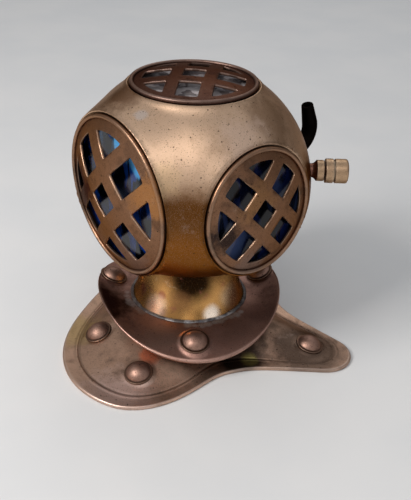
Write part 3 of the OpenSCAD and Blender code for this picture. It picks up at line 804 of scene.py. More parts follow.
# Spots on the collar: pale dust at the front, a near-black patch at the left end that is painted shade under the
# bonnet, a darker patch at the right end, and the pale residue by the neck's foot.
COLLAR_DUST_AND_PAINTED_SHADE = (
    Spot((-8.0, -37.0, 14.2), 10, (166, 136, 122), 0.55),
    Spot((-41.5, -28.5, 20.0), 20, (34, 19, 20), 0.95),
    Spot((23.6, -1.4, 16.6), 12, (84, 58, 54), 0.4),
    *residue_spots(),
)
PATINA_AND_PAINTED_REFLECTION = (
    Spot((21.2, -19.4, 2.0), 13, (40, 36, 34), 0.85),
    Spot((24.8, -19.4, 2.0), 4.2, (176, 164, 96), 0.85),
    # The orange patch before the collar's front is a painted reflection.
    Spot((-12.0, -41.5, 7.0), 7.5, (216, 98, 40), 0.6),
    Spot((-51.6, -31.5, 2.0), 15, (176, 150, 92), 0.55),
    Spot((-13.1, -62, 2.0), 22, (214, 184, 172), 0.75),
    Spot((4.0, -46.0, 3.0), 15, (232, 192, 166), 0.75),
    Spot((46.0, -2.0, 4.0), 27, (66, 54, 47), 0.8),
)
FINISHES = {
    "shell": AgedBrass(
        "shell_satin", (214, 180, 150), (132, 98, 70), (240, 222, 208), PAINTED_LOW_REFLECTION, SMUDGES_AND_PAINTED_LIGHT,
        rough=0.34, cloud_share=0.4, smudge_share=0.18, speck_share=0.7,
    ),
    "grille": AgedBrass(
        "grille_bronze", (134, 98, 74), (56, 43, 37), (214, 182, 156), (), GRILLE_TONE_AND_PAINTED_LIGHT,
        cloud=10, edge_share=0.8, cloud_share=0.65, smudge_share=0.3, seed=2.3,
    ),
    "grille_top": AgedBrass(
        "grille_brown", (86, 62, 54), (44, 31, 27), (186, 160, 146),
        rough=0.42, cloud=12, smudge_share=0.2, seed=3.1,
    ),
    "neck": AgedBrass(
        # The band darkens the neck's top under the bonnet: painted shade.
        "neck_bright", (212, 160, 96), (178, 124, 70), (246, 222, 188), (Band(26, 38, (60, 28, 9), 0.85),), TARNISH_AND_PAINTED_LIGHT,
        rough=0.26, rough_swing=0.06, grain_share=0.2, cloud_share=0.2, stain=(168, 104, 84),
        bump=0.04, speck_share=0.12, stray=0.3, seed=4.2,
    ),
    "collar": AgedBrass(
        "collar_dark", (154, 118, 105), (66, 46, 43), (206, 168, 152), (), COLLAR_DUST_AND_PAINTED_SHADE,
        rough=0.42, cloud_share=0.6, seed=5.1,
    ),
    "plate": AgedBrass(
        "plate_brown", (190, 154, 130), (68, 56, 49), (232, 206, 190), (), PATINA_AND_PAINTED_REFLECTION,
        rough=0.4, cloud=24, cloud_share=0.7, seed=6.4,
    ),
    "rivet": AgedBrass("rivet_pink", (156, 123, 108), (80, 58, 49), (198, 172, 156), rough=0.46, cloud=6, seed=7.7),
    "washer": AgedBrass("washer_satin", (98, 72, 58), (46, 34, 28), (164, 140, 122), cloud=7, seed=8.8),
    # Painted shade: the air inlet at the back is coloured near-black as it shows in shade.
    "inlet": AgedBrass("inlet_shaded_black", (14, 11, 10), (6, 5, 5), (44, 36, 32), rough=0.5, cloud=8, seed=9.2),
    # The stem's darker copy of the valve brass is painted shade.
    "valve_dark": AgedBrass("valve_shadow", (126, 88, 74), (50, 34, 28), (160, 132, 110), cloud=6, seed=1.1),
    "valve": AgedBrass("valve_satin", (190, 158, 126), (82, 60, 46), (216, 198, 174), cloud=6, seed=2.9),
    "inner": AgedBrass("inner_plain", (150, 114, 66), (90, 62, 34), (204, 176, 132), cloud=10, seed=3.6),
    "solder": Solder("solder_residue", (6.0, -24.0, 16.0), 11, 22),
    # The panes' tints, bands and streaks are painted reflections: blue on the front and side panes, pale grey sky on
    # the top pane.
    "pane_front": Pane(
        "pane_front", (3, 5, 12), (10, 46, 110), (84, 160, 216), (52, 58, 70), (0.25, -0.45, 0.86), 86, 8, 1.0
    ),
    "pane_side": Pane("pane_side", (4, 5, 11), (16, 26, 64), (58, 72, 108), (64, 74, 100), (0, 0, -1), -70, 12, 2.0),
    "pane_top": Pane(
        "pane_top", (84, 76, 76), (150, 143, 143), (208, 200, 200), (176, 168, 168), (0.38, -0.92, 0), 3, 6, 3.0
    ),
}


# ---------------------------------------------------------------- windows
class Cell(NamedTuple):
    """An opening of a grille: its centre, and on each ray the distance of its edge."""

    x: float
    y: float
    reach: Array

    def loop(self, grow: float) -> Array:
        """The edge as points, moved outwards by grow."""
        return np.array([self.x, self.y]) + (self.reach + grow)[:, None] * circle(RAYS)

    def clears(self, x: Array, y: Array, spare: float) -> Array:
        """True where a point lies further out than the edge and a margin.

        Args:
            x: the points' x.
            y: the points' y.
            spare: the margin.

        Returns:
            The mask.
        """
        angle = np.mod(np.arctan2(y - self.y, x - self.x), TAU)
        reach = np.interp(angle, np.linspace(0, TAU, RAYS + 1), np.append(self.reach, self.reach[0]))
        return np.hypot(x - self.x, y - self.y) > reach + spare


@dataclass(frozen=True)
class Window:
    """A round window: where it stands on the bonnet and how wide its rim is."""

    name: str
    radius: float
    bearing: float
    tilt: float
    rise: float
    bar: float = 0.0
    pitch: float = 0.0
    border: float = 0.0
    bars_turn: float = 45.0
    upright: bool = False
    rim_gap: float = 0.3
    frame_wall: float = 0.8
    frame_drop: float = 0.7
    ledge_w: float = 2.2
    lip_from: float = 0.48
    bead_r: float = 0.9
    sheet_t: float = 1.0
    dome_r: float = 80.0
    bevel: float = 0.22
    mesh_step: float = 1.1
    mesh_gap: float = 0.7
    corner_in: float = 0.248
    side_in: float = 0.5
    roundness: float = 26.0

    @property
    def frame_r(self) -> float:
        """Outer radius of the frame."""
        return self.radius + self.rim_gap + self.frame_wall

    @property
    def seat(self) -> float:
        """Distance from the shell's centre to the plane of the bead."""
        return float(np.sqrt(SHELL_R**2 - self.radius**2))

    @property
    def crown(self) -> float:
        """Height of the dome's top above the plane of the bead."""
        return self.sag(self.radius - self.bead_r) - self.bead_r / 2

    def sag(self, r: float | Array) -> float | Array:
        """How far the dome has fallen at radius r: R - sqrt(R^2 - r^2)."""
        return self.dome_r - np.sqrt(self.dome_r**2 - np.asarray(r) ** 2)

    def place(self) -> Array:
        """The matrix of the window's own frame: +Z outwards from the middle of the bead's plane.

        Returns:
            The matrix, in millimetres.
        """
        if self.upright:
            return on_axis() @ turn(self.bearing, "Z") @ shift(0, 0, SHELL_Z + self.seat + self.rise)
        spin = turn(FRONT_BEARING + self.bearing, "Z")
        return on_axis() @ spin @ shift(self.seat, 0, SHELL_Z + self.rise) @ turn(90 - self.tilt, "Y")

    def lowness(self, spin: Array) -> Array:
        """0 at the window's top and 1 at its lowest point; a half all round the window that looks up."""
        return 0.5 + 0.5 * np.cos(spin) * (not self.upright)

    def brow(self, spin: Array) -> Array:
        """Height at which the shell meets the frame, lower below the window."""
        return -0.8 - 0.8 * self.lowness(spin) ** 3

    def frame_form(self) -> Form:
        """The frame: a ring with a rounded upper edge and a ledge for the rim, turned about the window's axis.

        Returns:
            The frame in its place.
        """
        r, out, top = self.radius, self.frame_r, -self.frame_drop
        hole, lip, fine, wide = r - self.ledge_w, r + self.lip_from, 0.15, 0.25
        ledge, foot, skirt = -1.0, -2.0, -4.4
        profile = [(hole, foot), (hole, ledge - 0.2), (hole + 0.2, ledge), (lip, ledge), (lip, top - fine)]
        profile += arc((lip + fine, top - fine), fine, 180, 90, 4)
        profile += arc((out - wide, top - wide), wide, 90, 0, 5)
        profile += [(out, foot - 0.4), (out, skirt), (r + 0.05, skirt), (r + 0.05, foot)]
        points = resampled(profile, 0.8)
        seam = (points[:, 0] < lip + 0.05) & (points[:, 1] < top - 0.05)
        return revolved(points, TURN_STEPS, ring=True, seam=seam).placed(self.place())

    def bead_form(self) -> Form:
        """The bead and its short wall: a circle of the bead's radius carried round, ending in a straight foot.

        Returns:
            The bead in the window's own frame.
        """
        r, b, wall, foot = self.radius, self.bead_r, -0.6, -1.0
        bead = arc((r - b, 0), b, 215, -20, 22)
        points = np.array(bead + [(r, wall), (r, foot), (r - 2 * b, foot), (r - 2 * b, wall)])
        # The top of the bead is lightened as a painted highlight, strongest on the top window; its lower wall is
        # darkened as a painted shadow line.
        edge = np.clip((points[:, 1] - 0.1) / 0.6, 0, 1) * (0.9 if self.upright else 0.4)
        seam = np.clip((-points[:, 1] - 0.2) / 0.4, 0, 1) * (points[:, 0] > r - b)
        return revolved(points, BEAD_STEPS, ring=True, edge=edge, seam=seam)

    def cells(self) -> list[Cell]:
        """The nine cells between the bars.

        The edge is a soft minimum of the distances to the sides and to the circle inside the border:
        (sum of d^-p)^(-1/p), which rounds the corners a little.

        Returns:
            The cells, row after row.
        """
        inner = self.radius - self.border
        half, far = (self.pitch - self.bar) / 2, (self.pitch + self.bar) / 2
        spans = {-1: (-inner, -far), 0: (-half, half), 1: (far, inner)}
        c, s = circle(RAYS).T
        found = []
        for i, (x0, x1) in spans.items():
            for j, (y0, y1) in spans.items():
                depth = far + (self.corner_in if i and j else self.side_in) * (inner - far)
                x, y = i * depth, j * depth
                along = x * c + y * s
                sides = [
                    (x1 - x) / np.maximum(c, 1e-4),
                    (x0 - x) / np.minimum(c, -1e-4),
                    (y1 - y) / np.maximum(s, 1e-4),
                    (y0 - y) / np.minimum(s, -1e-4),
                    -along + np.sqrt(along**2 + inner**2 - x * x - y * y),
                ]
                total = np.sum([(side / self.radius) ** -self.roundness for side in sides], axis=0)
                found.append(Cell(x, y, total ** (-1 / self.roundness) * self.radius))
        return found

    def flat_sheet(self, cells: list[Cell]) -> tuple[Array, Array]:
        """Triangulates the disc within the bead and outside the cells' bevels.

        Args:
            cells: the openings.

        Returns:
            The points and the triangles, all facing up.
        """
        rim = self.radius - self.bead_r
        grid = np.arange(-rim, rim, self.mesh_step)
        gx, gy = np.meshgrid(grid, grid)
        gy = gy + 0.3 * np.sin(3 * gx)
        inside = np.hypot(gx, gy) < rim - self.mesh_gap
        for cell in cells:
            inside &= cell.clears(gx, gy, self.mesh_gap + 0.05)
        loops = [rim * circle(TURN_STEPS)] + [cell.loop(self.bevel) for cell in cells]
        starts = np.cumsum([0] + [len(loop) for loop in loops])
        chains = [np.arange(a, b) for a, b in zip(starts[:-1], starts[1:])]
        edges = np.concatenate([np.stack([chain, np.roll(chain, -1)], -1) for chain in chains])
        spots = np.concatenate([*loops, np.stack([gx[inside], gy[inside]], -1)])
        made = delaunay_2d_cdt([Vector(p) for p in spots.tolist()], [tuple(e) for e in edges.tolist()], [], 0, 1e-7)
        flat = np.array([tuple(v) for v in made[0]])
        triangles = np.array([f for f in made[2] if len(f) == 3])
        middle = flat[triangles].mean(1)
        keep = np.hypot(*middle.T) < rim
        for cell in cells:
            keep &= cell.clears(*middle.T, 0.9 * self.bevel)
        triangles = triangles[keep]
        a, b, c = flat[triangles].transpose(1, 0, 2)
        (ux, uy), (vx, vy) = (b - a).T, (c - a).T
        down = ux * vy < uy * vx
        triangles[down] = triangles[down][:, ::-1]
        return flat, triangles

    def grille_form(self) -> Form:
        """The domed sheet with its nine cells, and the bead.

        The flat sheet is raised by the dome's formula. Its two faces are joined along each cell by a wall with a
        small bevel at the outer side.

        Returns:
            The grille in its place.
        """
        cells = self.cells()
        flat, triangles = self.flat_sheet(cells)
        count = len(flat)
        points, faces = [self.domed(flat, 0.0), self.domed(flat, self.sheet_t)], [triangles, triangles[:, ::-1] + count]
        rows = ((self.bevel, 0.0), (0.0, self.bevel), (0.0, self.sheet_t), (self.bevel, self.sheet_t))
        for k, cell in enumerate(cells):
            points += [self.domed(cell.loop(grow), below) for grow, below in rows]
            faces.append(lattice(len(rows), RAYS, ring_columns=True) + 2 * count + k * len(rows) * RAYS)
        points = np.concatenate(points)
        # The cells' cut edges are lightened, partly as a painted highlight.
        edge = np.concatenate([np.zeros(2 * count), np.tile(np.repeat([0.15, 1.0, 0.0, 0.0], RAYS), len(cells))])
        rim = self.radius - self.bead_r
        seam = 0.35 * np.clip((np.hypot(*points[:, :2].T) - rim + 1.6) / 1.2, 0, 1)
        sheet = Form(points, faces, {"edge": edge, "seam": seam}).placed(turn(self.bars_turn, "Z"))
        return joined([sheet, self.bead_form()]).placed(self.place())

    def domed(self, flat: Array, below: float) -> Array:
        """Flat points raised to the dome, or to a surface that lies below it."""
        return np.column_stack([flat, self.crown - self.sag(np.hypot(*flat.T)) - below])


WINDOWS = (
    Window("front", 33.1, 0, -3, 3.4, 6.6, 17.6, 6.2),
    Window("left", 26, 90.8, 3.3, 3.4, 5.2, 13.9, 5.1),
    Window("right", 26, -90.8, 3.3, 3.4, 5.2, 13.9, 5.1),
    Window("top", 25.9, 15.5, 0, 1, 5.2, 13.9, 5.1, bars_turn=0, upright=True),
    Window("rear", 24, 180, 0, 0.5),
)


# ---------------------------------------------------------------- bonnet
@dataclass
class Bonnet:
    """The shell with its windows."""

    wall: float = 1.2
    rows: int = 150
    columns: int = 330
    hole_r: float = 21.55
    hole_drop: float = 31.06
    blend: float = 2.2
    facing_min: float = 0.25
    cut_drop: float = 1.8
    slope: float = 0.28
    slope_below: float = 0.75
    snap: float = 0.56
    under: float = 0.72
    behind: float = 8.0
    seam_share: float = 0.45
    seam_w: float = 0.4

    def base_radius(self, climb: Array) -> Array:
        """Distance of the plain shell from its centre: a sphere above, a flattened superellipse below.

        Below, r^p / R^p + z^p / D^p = 1 with r = d cos c and z = d sin c, solved for d.

        Args:
            climb: angle above the level plane, in radians.

        Returns:
            The distance.
        """
        c, s = np.cos(climb), np.sin(np.minimum(climb, 0))
        power = SHELL_SQUARE
        low = ((np.maximum(c, 1e-9) / SHELL_R) ** power + (np.abs(s) / SHELL_DEPTH) ** power) ** (-1 / power)
        return np.where(climb >= 0, SHELL_R, low)

    def swell(self, window: Window, ray: Array) -> Array:
        """How far the shell reaches on each ray to meet a window's frame.

        From the frame's circle it falls by a slope times the distance along the shell, gently above the window
        and steeply below it.

        Args:
            window: the window.
            ray: unit vectors from the shell's centre.

        Returns:
            The distance, 0 on rays that look away from the window.
        """
        place = window.place()
        turned, middle = place[:3, :3], place[:3, 3] - CENTRE
        facing = np.maximum(ray @ turned[:, 2], self.facing_min)
        flat = ray * ((middle @ turned[:, 2] - self.cut_drop) / facing)[..., None]
        local = (flat - middle) @ turned
        spin = np.arctan2(local[..., 1], local[..., 0])
        rim = polar(window.frame_r, spin, window.brow(spin)) @ turned.T + middle
        far = np.linalg.norm(rim, axis=-1)
        outside = np.hypot(local[..., 0], local[..., 1]) > window.frame_r
        gap = far * np.arccos(np.clip(np.sum(rim * ray, -1) / far, -1, 1)) * outside
        slope = self.slope + self.slope_below * window.lowness(spin) ** 1.5
        return np.where(facing > self.facing_min, far - slope * gap, 0)

    def fitted(self, window: Window, points: Array) -> tuple[Array, Array, Array]:
        """Draws the shell's points to a window's frame and holds them below it within.

        Args:
            window: the window.
            points: the shell's points.

        Returns:
            The points, which of them lie in the opening, and the seam's darkening beside the frame, a painted shadow
            line.
        """
        place = window.place()
        local = (points - place[:3, 3]) @ place[:3, :3]
        r, z = np.hypot(local[..., 0], local[..., 1]), local[..., 2]
        front = z > -self.behind
        beside = front & (np.abs(r - window.frame_r) < self.snap)
        within = front & (r <= window.frame_r - self.snap)
        local[..., :2] *= np.where(beside, window.frame_r / np.maximum(r, 1), 1)[..., None]
        brow = window.brow(np.arctan2(local[..., 1], local[..., 0]))
        z = np.where(beside, np.clip(z, brow, -self.under), z)
        local[..., 2] = np.where(within, np.minimum(z, brow - 0.3), z)
        # Painted shadow: the shell is darkened just outside the frame, where the raised frame casts its shadow line.
        seam = self.seam_share * np.exp(-np.maximum(0, r - window.frame_r) / self.seam_w) * front
        return local @ place[:3, :3].T + place[:3, 3], front & (r < window.radius - window.bead_r), seam

    def shell_form(self) -> Form:
        """The shell: its distance from the centre is the plain form, softly raised to each window's frame.

        Returns:
            The shell's outer surface, open at the windows and at the ring.
        """
        climb = np.linspace(np.pi / 2, -np.arctan2(self.hole_drop, self.hole_r), self.rows)[:, None]
        around = np.linspace(0, TAU, self.columns, endpoint=False)[None, :]
        ray = polar(np.cos(climb), around, np.sin(climb))
        reach = np.repeat(self.base_radius(climb), self.columns, 1)
        for window in WINDOWS:
            reach = soft_max(reach, self.swell(window, ray), self.blend)
        points = ray * reach[..., None] + CENTRE
        hidden, seam = np.zeros(reach.shape, bool), np.zeros(reach.shape)
        for window in WINDOWS:
            points, over, near = self.fitted(window, points)
            hidden |= over
            seam = np.maximum(seam, near)
        form = surface(points, ring_columns=True, seam=seam)
        faces = form.faces[0][~hidden.ravel()[form.faces[0]].all(1)]
        used, again = np.unique(faces, return_inverse=True)
        return Form(form.points[used], [again.reshape(faces.shape)], {"seam": form.marks["seam"][used]})

    def build(self, finishes: dict[str, bpy.types.Material]) -> None:
        """Makes the shell, the frames and the grilles.

        Args:
            finishes: the materials by name.
        """
        body, satin = Body.BONNET, finishes["shell"]
        make_piece("shell", "bonnet_shell", self.shell_form(), body, satin, 50, self.wall)
        for window in WINDOWS:
            side = window.name
            make_piece(f"ring_{side}", f"frame_{side}", window.frame_form(), body, satin)
            if window.bar:
                look = finishes["grille_top" if window.upright else "grille"]
                make_piece(f"guard_{side}", f"grille_{side}", window.grille_form(), body, look, 45)


@dataclass
class RearFitting:
    """The blank rear plate and the air inlet that it carries."""

    window: Window = WINDOWS[-1]
    bend_at: float = 57.7
    bend_r: float = 9.4
    bend_deg: float = 106.0
    pipe_r: float = 3.5
    mouth_r: float = 2.7
    taper: float = 9.0
    bore_r: float = 1.6
    bore_l: float = 7.0
    flange_r: float = 7.0
    flange_t: float = 1.5
    stem_r: float = 2.9
    stem_l: float = 5.0

    @property
    def face(self) -> float:
        """Height of the flat face under the flange, from the plane of the plate's bead."""
        return float(self.window.crown - self.window.sag(self.flange_r + 0.5))

    def place(self) -> Array:
        """The matrix of the inlet's axis: +Z outwards from the neck's axis, local -X up."""
        spin = turn(FRONT_BEARING + self.window.bearing, "Z")
        return on_axis() @ spin @ shift(0, 0, SHELL_Z + self.window.rise) @ turn(90, "Y")

    def plate_form(self) -> Form:
        """The blank plate: the dome's profile to its middle, a flat face for the flange, and the bead.

        Returns:
            The plate in its place.
        """
        rear, hole, flat_r = self.window, self.stem_r + 0.05, self.flange_r + 0.3
        r = np.linspace(flat_r, rear.radius - rear.bead_r, 34)
        top = rear.crown - rear.sag(r)
        profile = [(hole, self.face), (flat_r - 0.1, self.face), *zip(r, top)]
        profile += [*zip(r[::-1], top[::-1] - rear.sheet_t), (hole, self.face - rear.sheet_t)]
        seam = 0.7 * np.clip((np.array(profile)[:, 0] - rear.radius + 3.2) / 1.6, 0, 1)
        dome = revolved(profile, TURN_STEPS, ring=True, seam=seam)
        return joined([dome, rear.bead_form()]).placed(rear.place())

    def inlet_form(self) -> Form:
        """The air inlet: a circle carried along a level run, a bend and a tapered run, then back up its bore.

        Returns:
            The pipe with its flange, closed at both ends.
        """
        face = self.window.seat + self.face
        level = self.bend_at - face
        bent = level + np.radians(self.bend_deg) * self.bend_r
        end = bent + self.taper
        stem, flange, top = self.stem_r, self.flange_r, self.flange_t
        pipe, mouth, bore = self.pipe_r, self.mouth_r, self.bore_r
        profile = [(-self.stem_l, 0.0), (-self.stem_l, stem), (0.0, stem), (0.0, flange - 0.2), (0.25, flange)]
        profile += [(top - 0.35, flange), (top, flange - 0.35), (top, pipe + 0.6)]
        profile += [(top + 0.25, pipe + 0.15), (top + 0.8, pipe)]
        profile += [(k, pipe) for k in np.linspace(top + 1.4, bent, 46)]
        profile += [(bent + (self.taper - 0.3) * k, pipe + (mouth - pipe) * k) for k in np.linspace(0.06, 1, 16)]
        profile += [(end - 0.1, mouth - 0.1), (end, mouth - 0.35), (end, bore + 0.2), (end - 0.2, bore)]
        profile += [(end - 2, bore), (end - self.bore_l, bore), (end - self.bore_l, 0.0)]
        s, r = np.array(profile).T[:, :, None]
        angle = np.clip((s - level) / self.bend_r, 0, np.radians(self.bend_deg))
        past = np.maximum(0, s - bent)
        out = face + np.minimum(s, level) + self.bend_r * np.sin(angle) + past * np.cos(angle)
        up = self.bend_r * (1 - np.cos(angle)) + past * np.sin(angle)
        c, side = circle(64).T
        x = -(up + r * c * np.cos(angle))
        z = out - r * c * np.sin(angle)
        return surface(np.stack([x, r * side, z], -1), ring_columns=True).placed(self.place())

    def build(self, finishes: dict[str, bpy.types.Material]) -> None:
        """Makes the plate and the inlet.

        Args:
            finishes: the materials by name.
        """
        body = Body.BONNET
        make_piece("back_plate", "rear_plate", self.plate_form(), body, finishes["grille_top"])
        make_piece("air_inlet", "gooseneck", self.inlet_form(), body, finishes["inlet"], 50)


# ---------------------------------------------------------------- valve
@dataclass
class ExhaustValve:
    """The exhaust valve: stem, body and the cap that turns."""

    bearing: float = 22.962
    height: float = 76.8
    start: float = 44.8
    at: float = 51.9
    stem_r: float = 2.9
    flare_r: float = 4.4
    flare_l: float = 1.4
    body_r: float = 4.4
    body_l: float = 3.0
    groove: float = 0.6
    groove_d: float = 0.8
    cap_r: float = 5.1
    ring_l: float = 3.4
    knob_l: float = 5.6
    crown_w: float = 1.7
    crown_h: float = 1.0
    bore_l: float = 3.6
    spindle_r: float = 2.0
    spindle_l: float = 3.0

    def place(self) -> Array:
        """The matrix of the valve's axis: +Z outwards from the neck's axis."""
        return on_axis() @ turn(self.bearing, "Z") @ shift(0, 0, self.height) @ turn(90, "Y")

    def stem_form(self) -> Form:
        """The stem, its hollow flare and the spindle, as one profile turned about the axis.

        Returns:
            The stem in its place.
        """
        end = self.at + self.body_l + self.groove + self.ring_l + self.spindle_l
        profile = [(0, self.start), (self.stem_r, self.start)]
        for k in np.linspace(0, 1, 7):
            wide = self.stem_r + (self.flare_r - self.stem_r) * k**2.2
            profile.append((wide, self.at - self.flare_l * 1.6 * (1 - k)))
        profile += [(self.flare_r, self.at), (self.spindle_r, self.at), (self.spindle_r, end), (0, end)]
        return revolved(resampled(profile, 1.0), 72, wobble=0.002, seed=1.0).placed(self.place())

    def body_form(self) -> Form:
        """The plain ring between the flare and the cap, with rounded edges.

        Returns:
            The ring in its place.
        """
        r, hole, low, high = self.body_r, self.spindle_r + 0.05, self.at + 0.02, self.at + self.body_l
        profile = [(hole, low), (r - 0.25, low)] + arc((r - 0.25, low + 0.25), 0.25, -90, 0, 4)
        profile += arc((r - 0.3, high - 0.3), 0.3, 0, 90, 5) + [(hole, high)]
        points = resampled(profile, 0.7)
        near = np.minimum(abs(points[:, 1] - low), abs(points[:, 1] - high))
        # The ring's edges are lightened, partly as a painted highlight.
        edge = np.clip(1 - near / 0.4, 0, 1) * (points[:, 0] > r - 0.4)
        return revolved(points, 96, ring=True, wobble=0.0016, seed=2.0, edge=edge).placed(self.place())

    def cap_form(self) -> Form:
        """The cap: a ring, a groove and a knob with a rounded end, bored for the spindle.

        Returns:
            The cap in its place.
        """
        r, hole, neck, fine, wide = self.cap_r, self.spindle_r + 0.06, self.cap_r - self.groove_d, 0.3, 0.35
        low = self.at + self.body_l + self.groove
        mid = low + self.ring_l
        bore, start = mid + self.bore_l, mid + self.groove
        end = start + self.knob_l
        profile = [(0, bore), (hole, bore), (hole, low), (r - wide, low)]
        profile += arc((r - wide, low + wide), wide, -90, 0, 5) + arc((r - fine, mid - fine), fine, 0, 90, 5)
        profile += [(neck, mid), (neck, start), (r - fine, start)] + arc((r - fine, start + fine), fine, -90, 0, 5)
        crown = np.linspace(0, np.pi / 2, 9)
        across = r - self.crown_w + self.crown_w * np.cos(crown)
        profile += [*zip(across, end - self.crown_h + self.crown_h * np.sin(crown)), (0, end)]
        points = resampled(profile, 0.8)
        x, z = points.T
        near = np.min([abs(z - k) for k in (low, mid, start)], axis=0)
        # The cap's edges are lightened, partly as a painted highlight.
        edge = np.clip(1 - near / 0.5, 0, 1) * (x > r - 1.2)
        seam = (x < r - 0.6) & (z > low - 0.01) & (z < start + 0.05)
        return revolved(points, 96, wobble=0.0018, seed=3.0, edge=edge, seam=seam).placed(self.place())

    def build(self, finishes: dict[str, bpy.types.Material]) -> None:
        """Makes the valve's pieces.

        Args:
            finishes: the materials by name.
        """
        bonnet, satin = Body.BONNET, finishes["valve"]
        make_piece("valve_pipe", "valve_stem", self.stem_form(), bonnet, finishes["valve_dark"], 50)
        make_piece("valve_collar", "valve_body", self.body_form(), bonnet, satin, 50)
        make_piece("valve_knob", "valve_cap", self.cap_form(), Body.CAP, satin, 50)


# ---------------------------------------------------------------- neck
@dataclass
class Neck:
    """The flared neck with the spigot and lugs that the bonnet turns on."""

    land: float = 15.6
    foot: float = 24.8
    waist: float = 21.1
    flare: float = 2.6
    shoulder: float = 37.885
    tail_r: float = 21.4
    low: float = 10.5
    throat: float = 19.6
    bore: float = 16.5
    spigot_r: float = 18.2
    spigot_top: float = 44.885
    pilot_r: float = 20.0
    pilot_h: float = 2.2
    lug_r: float = 19.6
    lug_t: float = 1.5
    lug_deg: float = 40.0
    lug_count: int = 4
    lug_at: float = 45.0
    bonnet_min: float = -16.0
    stop_gap: float = 1.0
    stop_deg: float = 3.0
    solder_w: float = 1.5
    solder_h: float = 0.7
    solder_steps: int = 320

    def ring_form(self) -> Form:
        """The neck: r = waist + (foot - waist)(1 - t)^flare over its height t, then pilot, spigot and bore.

        Returns:
            The neck with its lugs, in its place.
        """
        t = np.linspace(0.0, 1, 60)[1:-1]
        foot, waist, land, shoulder, spigot = self.foot, self.waist, self.land, self.shoulder, self.spigot_r
        pilot_top, top = shoulder + self.pilot_h, self.spigot_top
        profile = [(self.throat, self.low), (self.tail_r, self.low), (self.tail_r, land), (foot - 0.25, land)]
        profile += [(foot - 0.02, land + 0.3)]
        profile += [*zip(waist + (foot - waist) * (1 - t) ** self.flare, land + (shoulder - land) * t)]
        profile += [(waist, shoulder - 0.25), (waist - 0.25, shoulder), (self.pilot_r, shoulder)]
        profile += [(self.pilot_r, pilot_top), (spigot, pilot_top), (spigot, top - 0.2), (spigot - 0.2, top)]
        profile += [(self.bore, top), (self.bore, shoulder), (self.throat, shoulder - 3)]
        z = np.array(profile)[:, 1]
        seam = np.clip(1 - (z - land) / 0.9, 0, 1) * 0.8 + np.clip((z - shoulder + 1.1) / 1.0, 0, 1)
        parts = [revolved(profile, 256, ring=True, seam=np.clip(seam, 0, 1))]
        first = FRONT_BEARING + self.bonnet_min + self.lug_at
        under = top - 0.5 - self.lug_t
        parts += [self.lug(first + 360 / self.lug_count * k, self.lug_deg, under) for k in range(self.lug_count)]
        stop = first + self.lug_deg / 2 + self.stop_gap + self.stop_deg / 2
        parts.append(self.lug(stop, self.stop_deg, under - self.lug_t - 0.3))
        return joined(parts).placed(on_axis())

    def lug(self, middle: float, degrees: float, low: float) -> Form:
        """A lug: a small rectangle carried round part of a circle, closed at both ends.

        Args:
            middle: bearing of its middle.
            degrees: how far it spans.
            low: height of its underside.

        Returns:
            The lug.
        """
        a = np.radians(middle + np.linspace(-degrees / 2, degrees / 2, 18))[:, None]
        inner, outer, high, fine = self.spigot_r - 0.4, self.lug_r, low + self.lug_t, 0.15
        section = [(inner, low), (outer - fine, low), (outer, low + fine), (outer, high - fine)]
        section += [(outer - fine, high), (inner, high)]
        r, z = np.array(section).T
        ring = polar(r, a, z)
        ends = np.repeat(ring[[0, -1]].mean(1)[:, None, :], len(section), 1)
        return surface(np.concatenate([ends[:1], ring, ends[1:]]), ring_columns=True)

    def solder_form(self) -> Form:
        """The pale residue round the foot: a low bead whose width and height stray along the turn.

        Returns:
            The bead in its place.
        """
        a = np.linspace(0, TAU, self.solder_steps, endpoint=False)
        stray = 0.5 * np.sin(5 * a + 1) + 0.3 * np.sin(13 * a) + 0.25 * np.sin(23 * a + 2) + 0.2 * np.sin(41 * a)
        wide = self.solder_w * (0.86 + 0.11 * stray)
        high = self.solder_h * (0.84 + 0.16 * np.sin(9 * a + 0.6) * np.sin(4 * a) + 0.1 * np.sin(31 * a))
        start, floor = self.foot - 0.02, self.land - 0.05
        t = np.linspace(0, np.pi / 2, 7)[:, None]
        r = np.concatenate([start + wide * np.sin(t) ** 0.8, np.full((1, len(a)), start)])
        z = np.concatenate([floor + (high + 0.05) * np.cos(t), np.full((1, len(a)), floor)])
        return surface(polar(r, a, z), ring_rows=True, ring_columns=True).placed(on_axis())

    def build(self, finishes: dict[str, bpy.types.Material]) -> None:
        """Makes the neck and the residue.

        Args:
            finishes: the materials by name.
        """
        make_piece("neck", "neck_ring", self.ring_form(), Body.BASE, finishes["neck"], 35)
        make_piece("residue", "solder_ring", self.solder_form(), Body.BASE, finishes["solder"], 60)


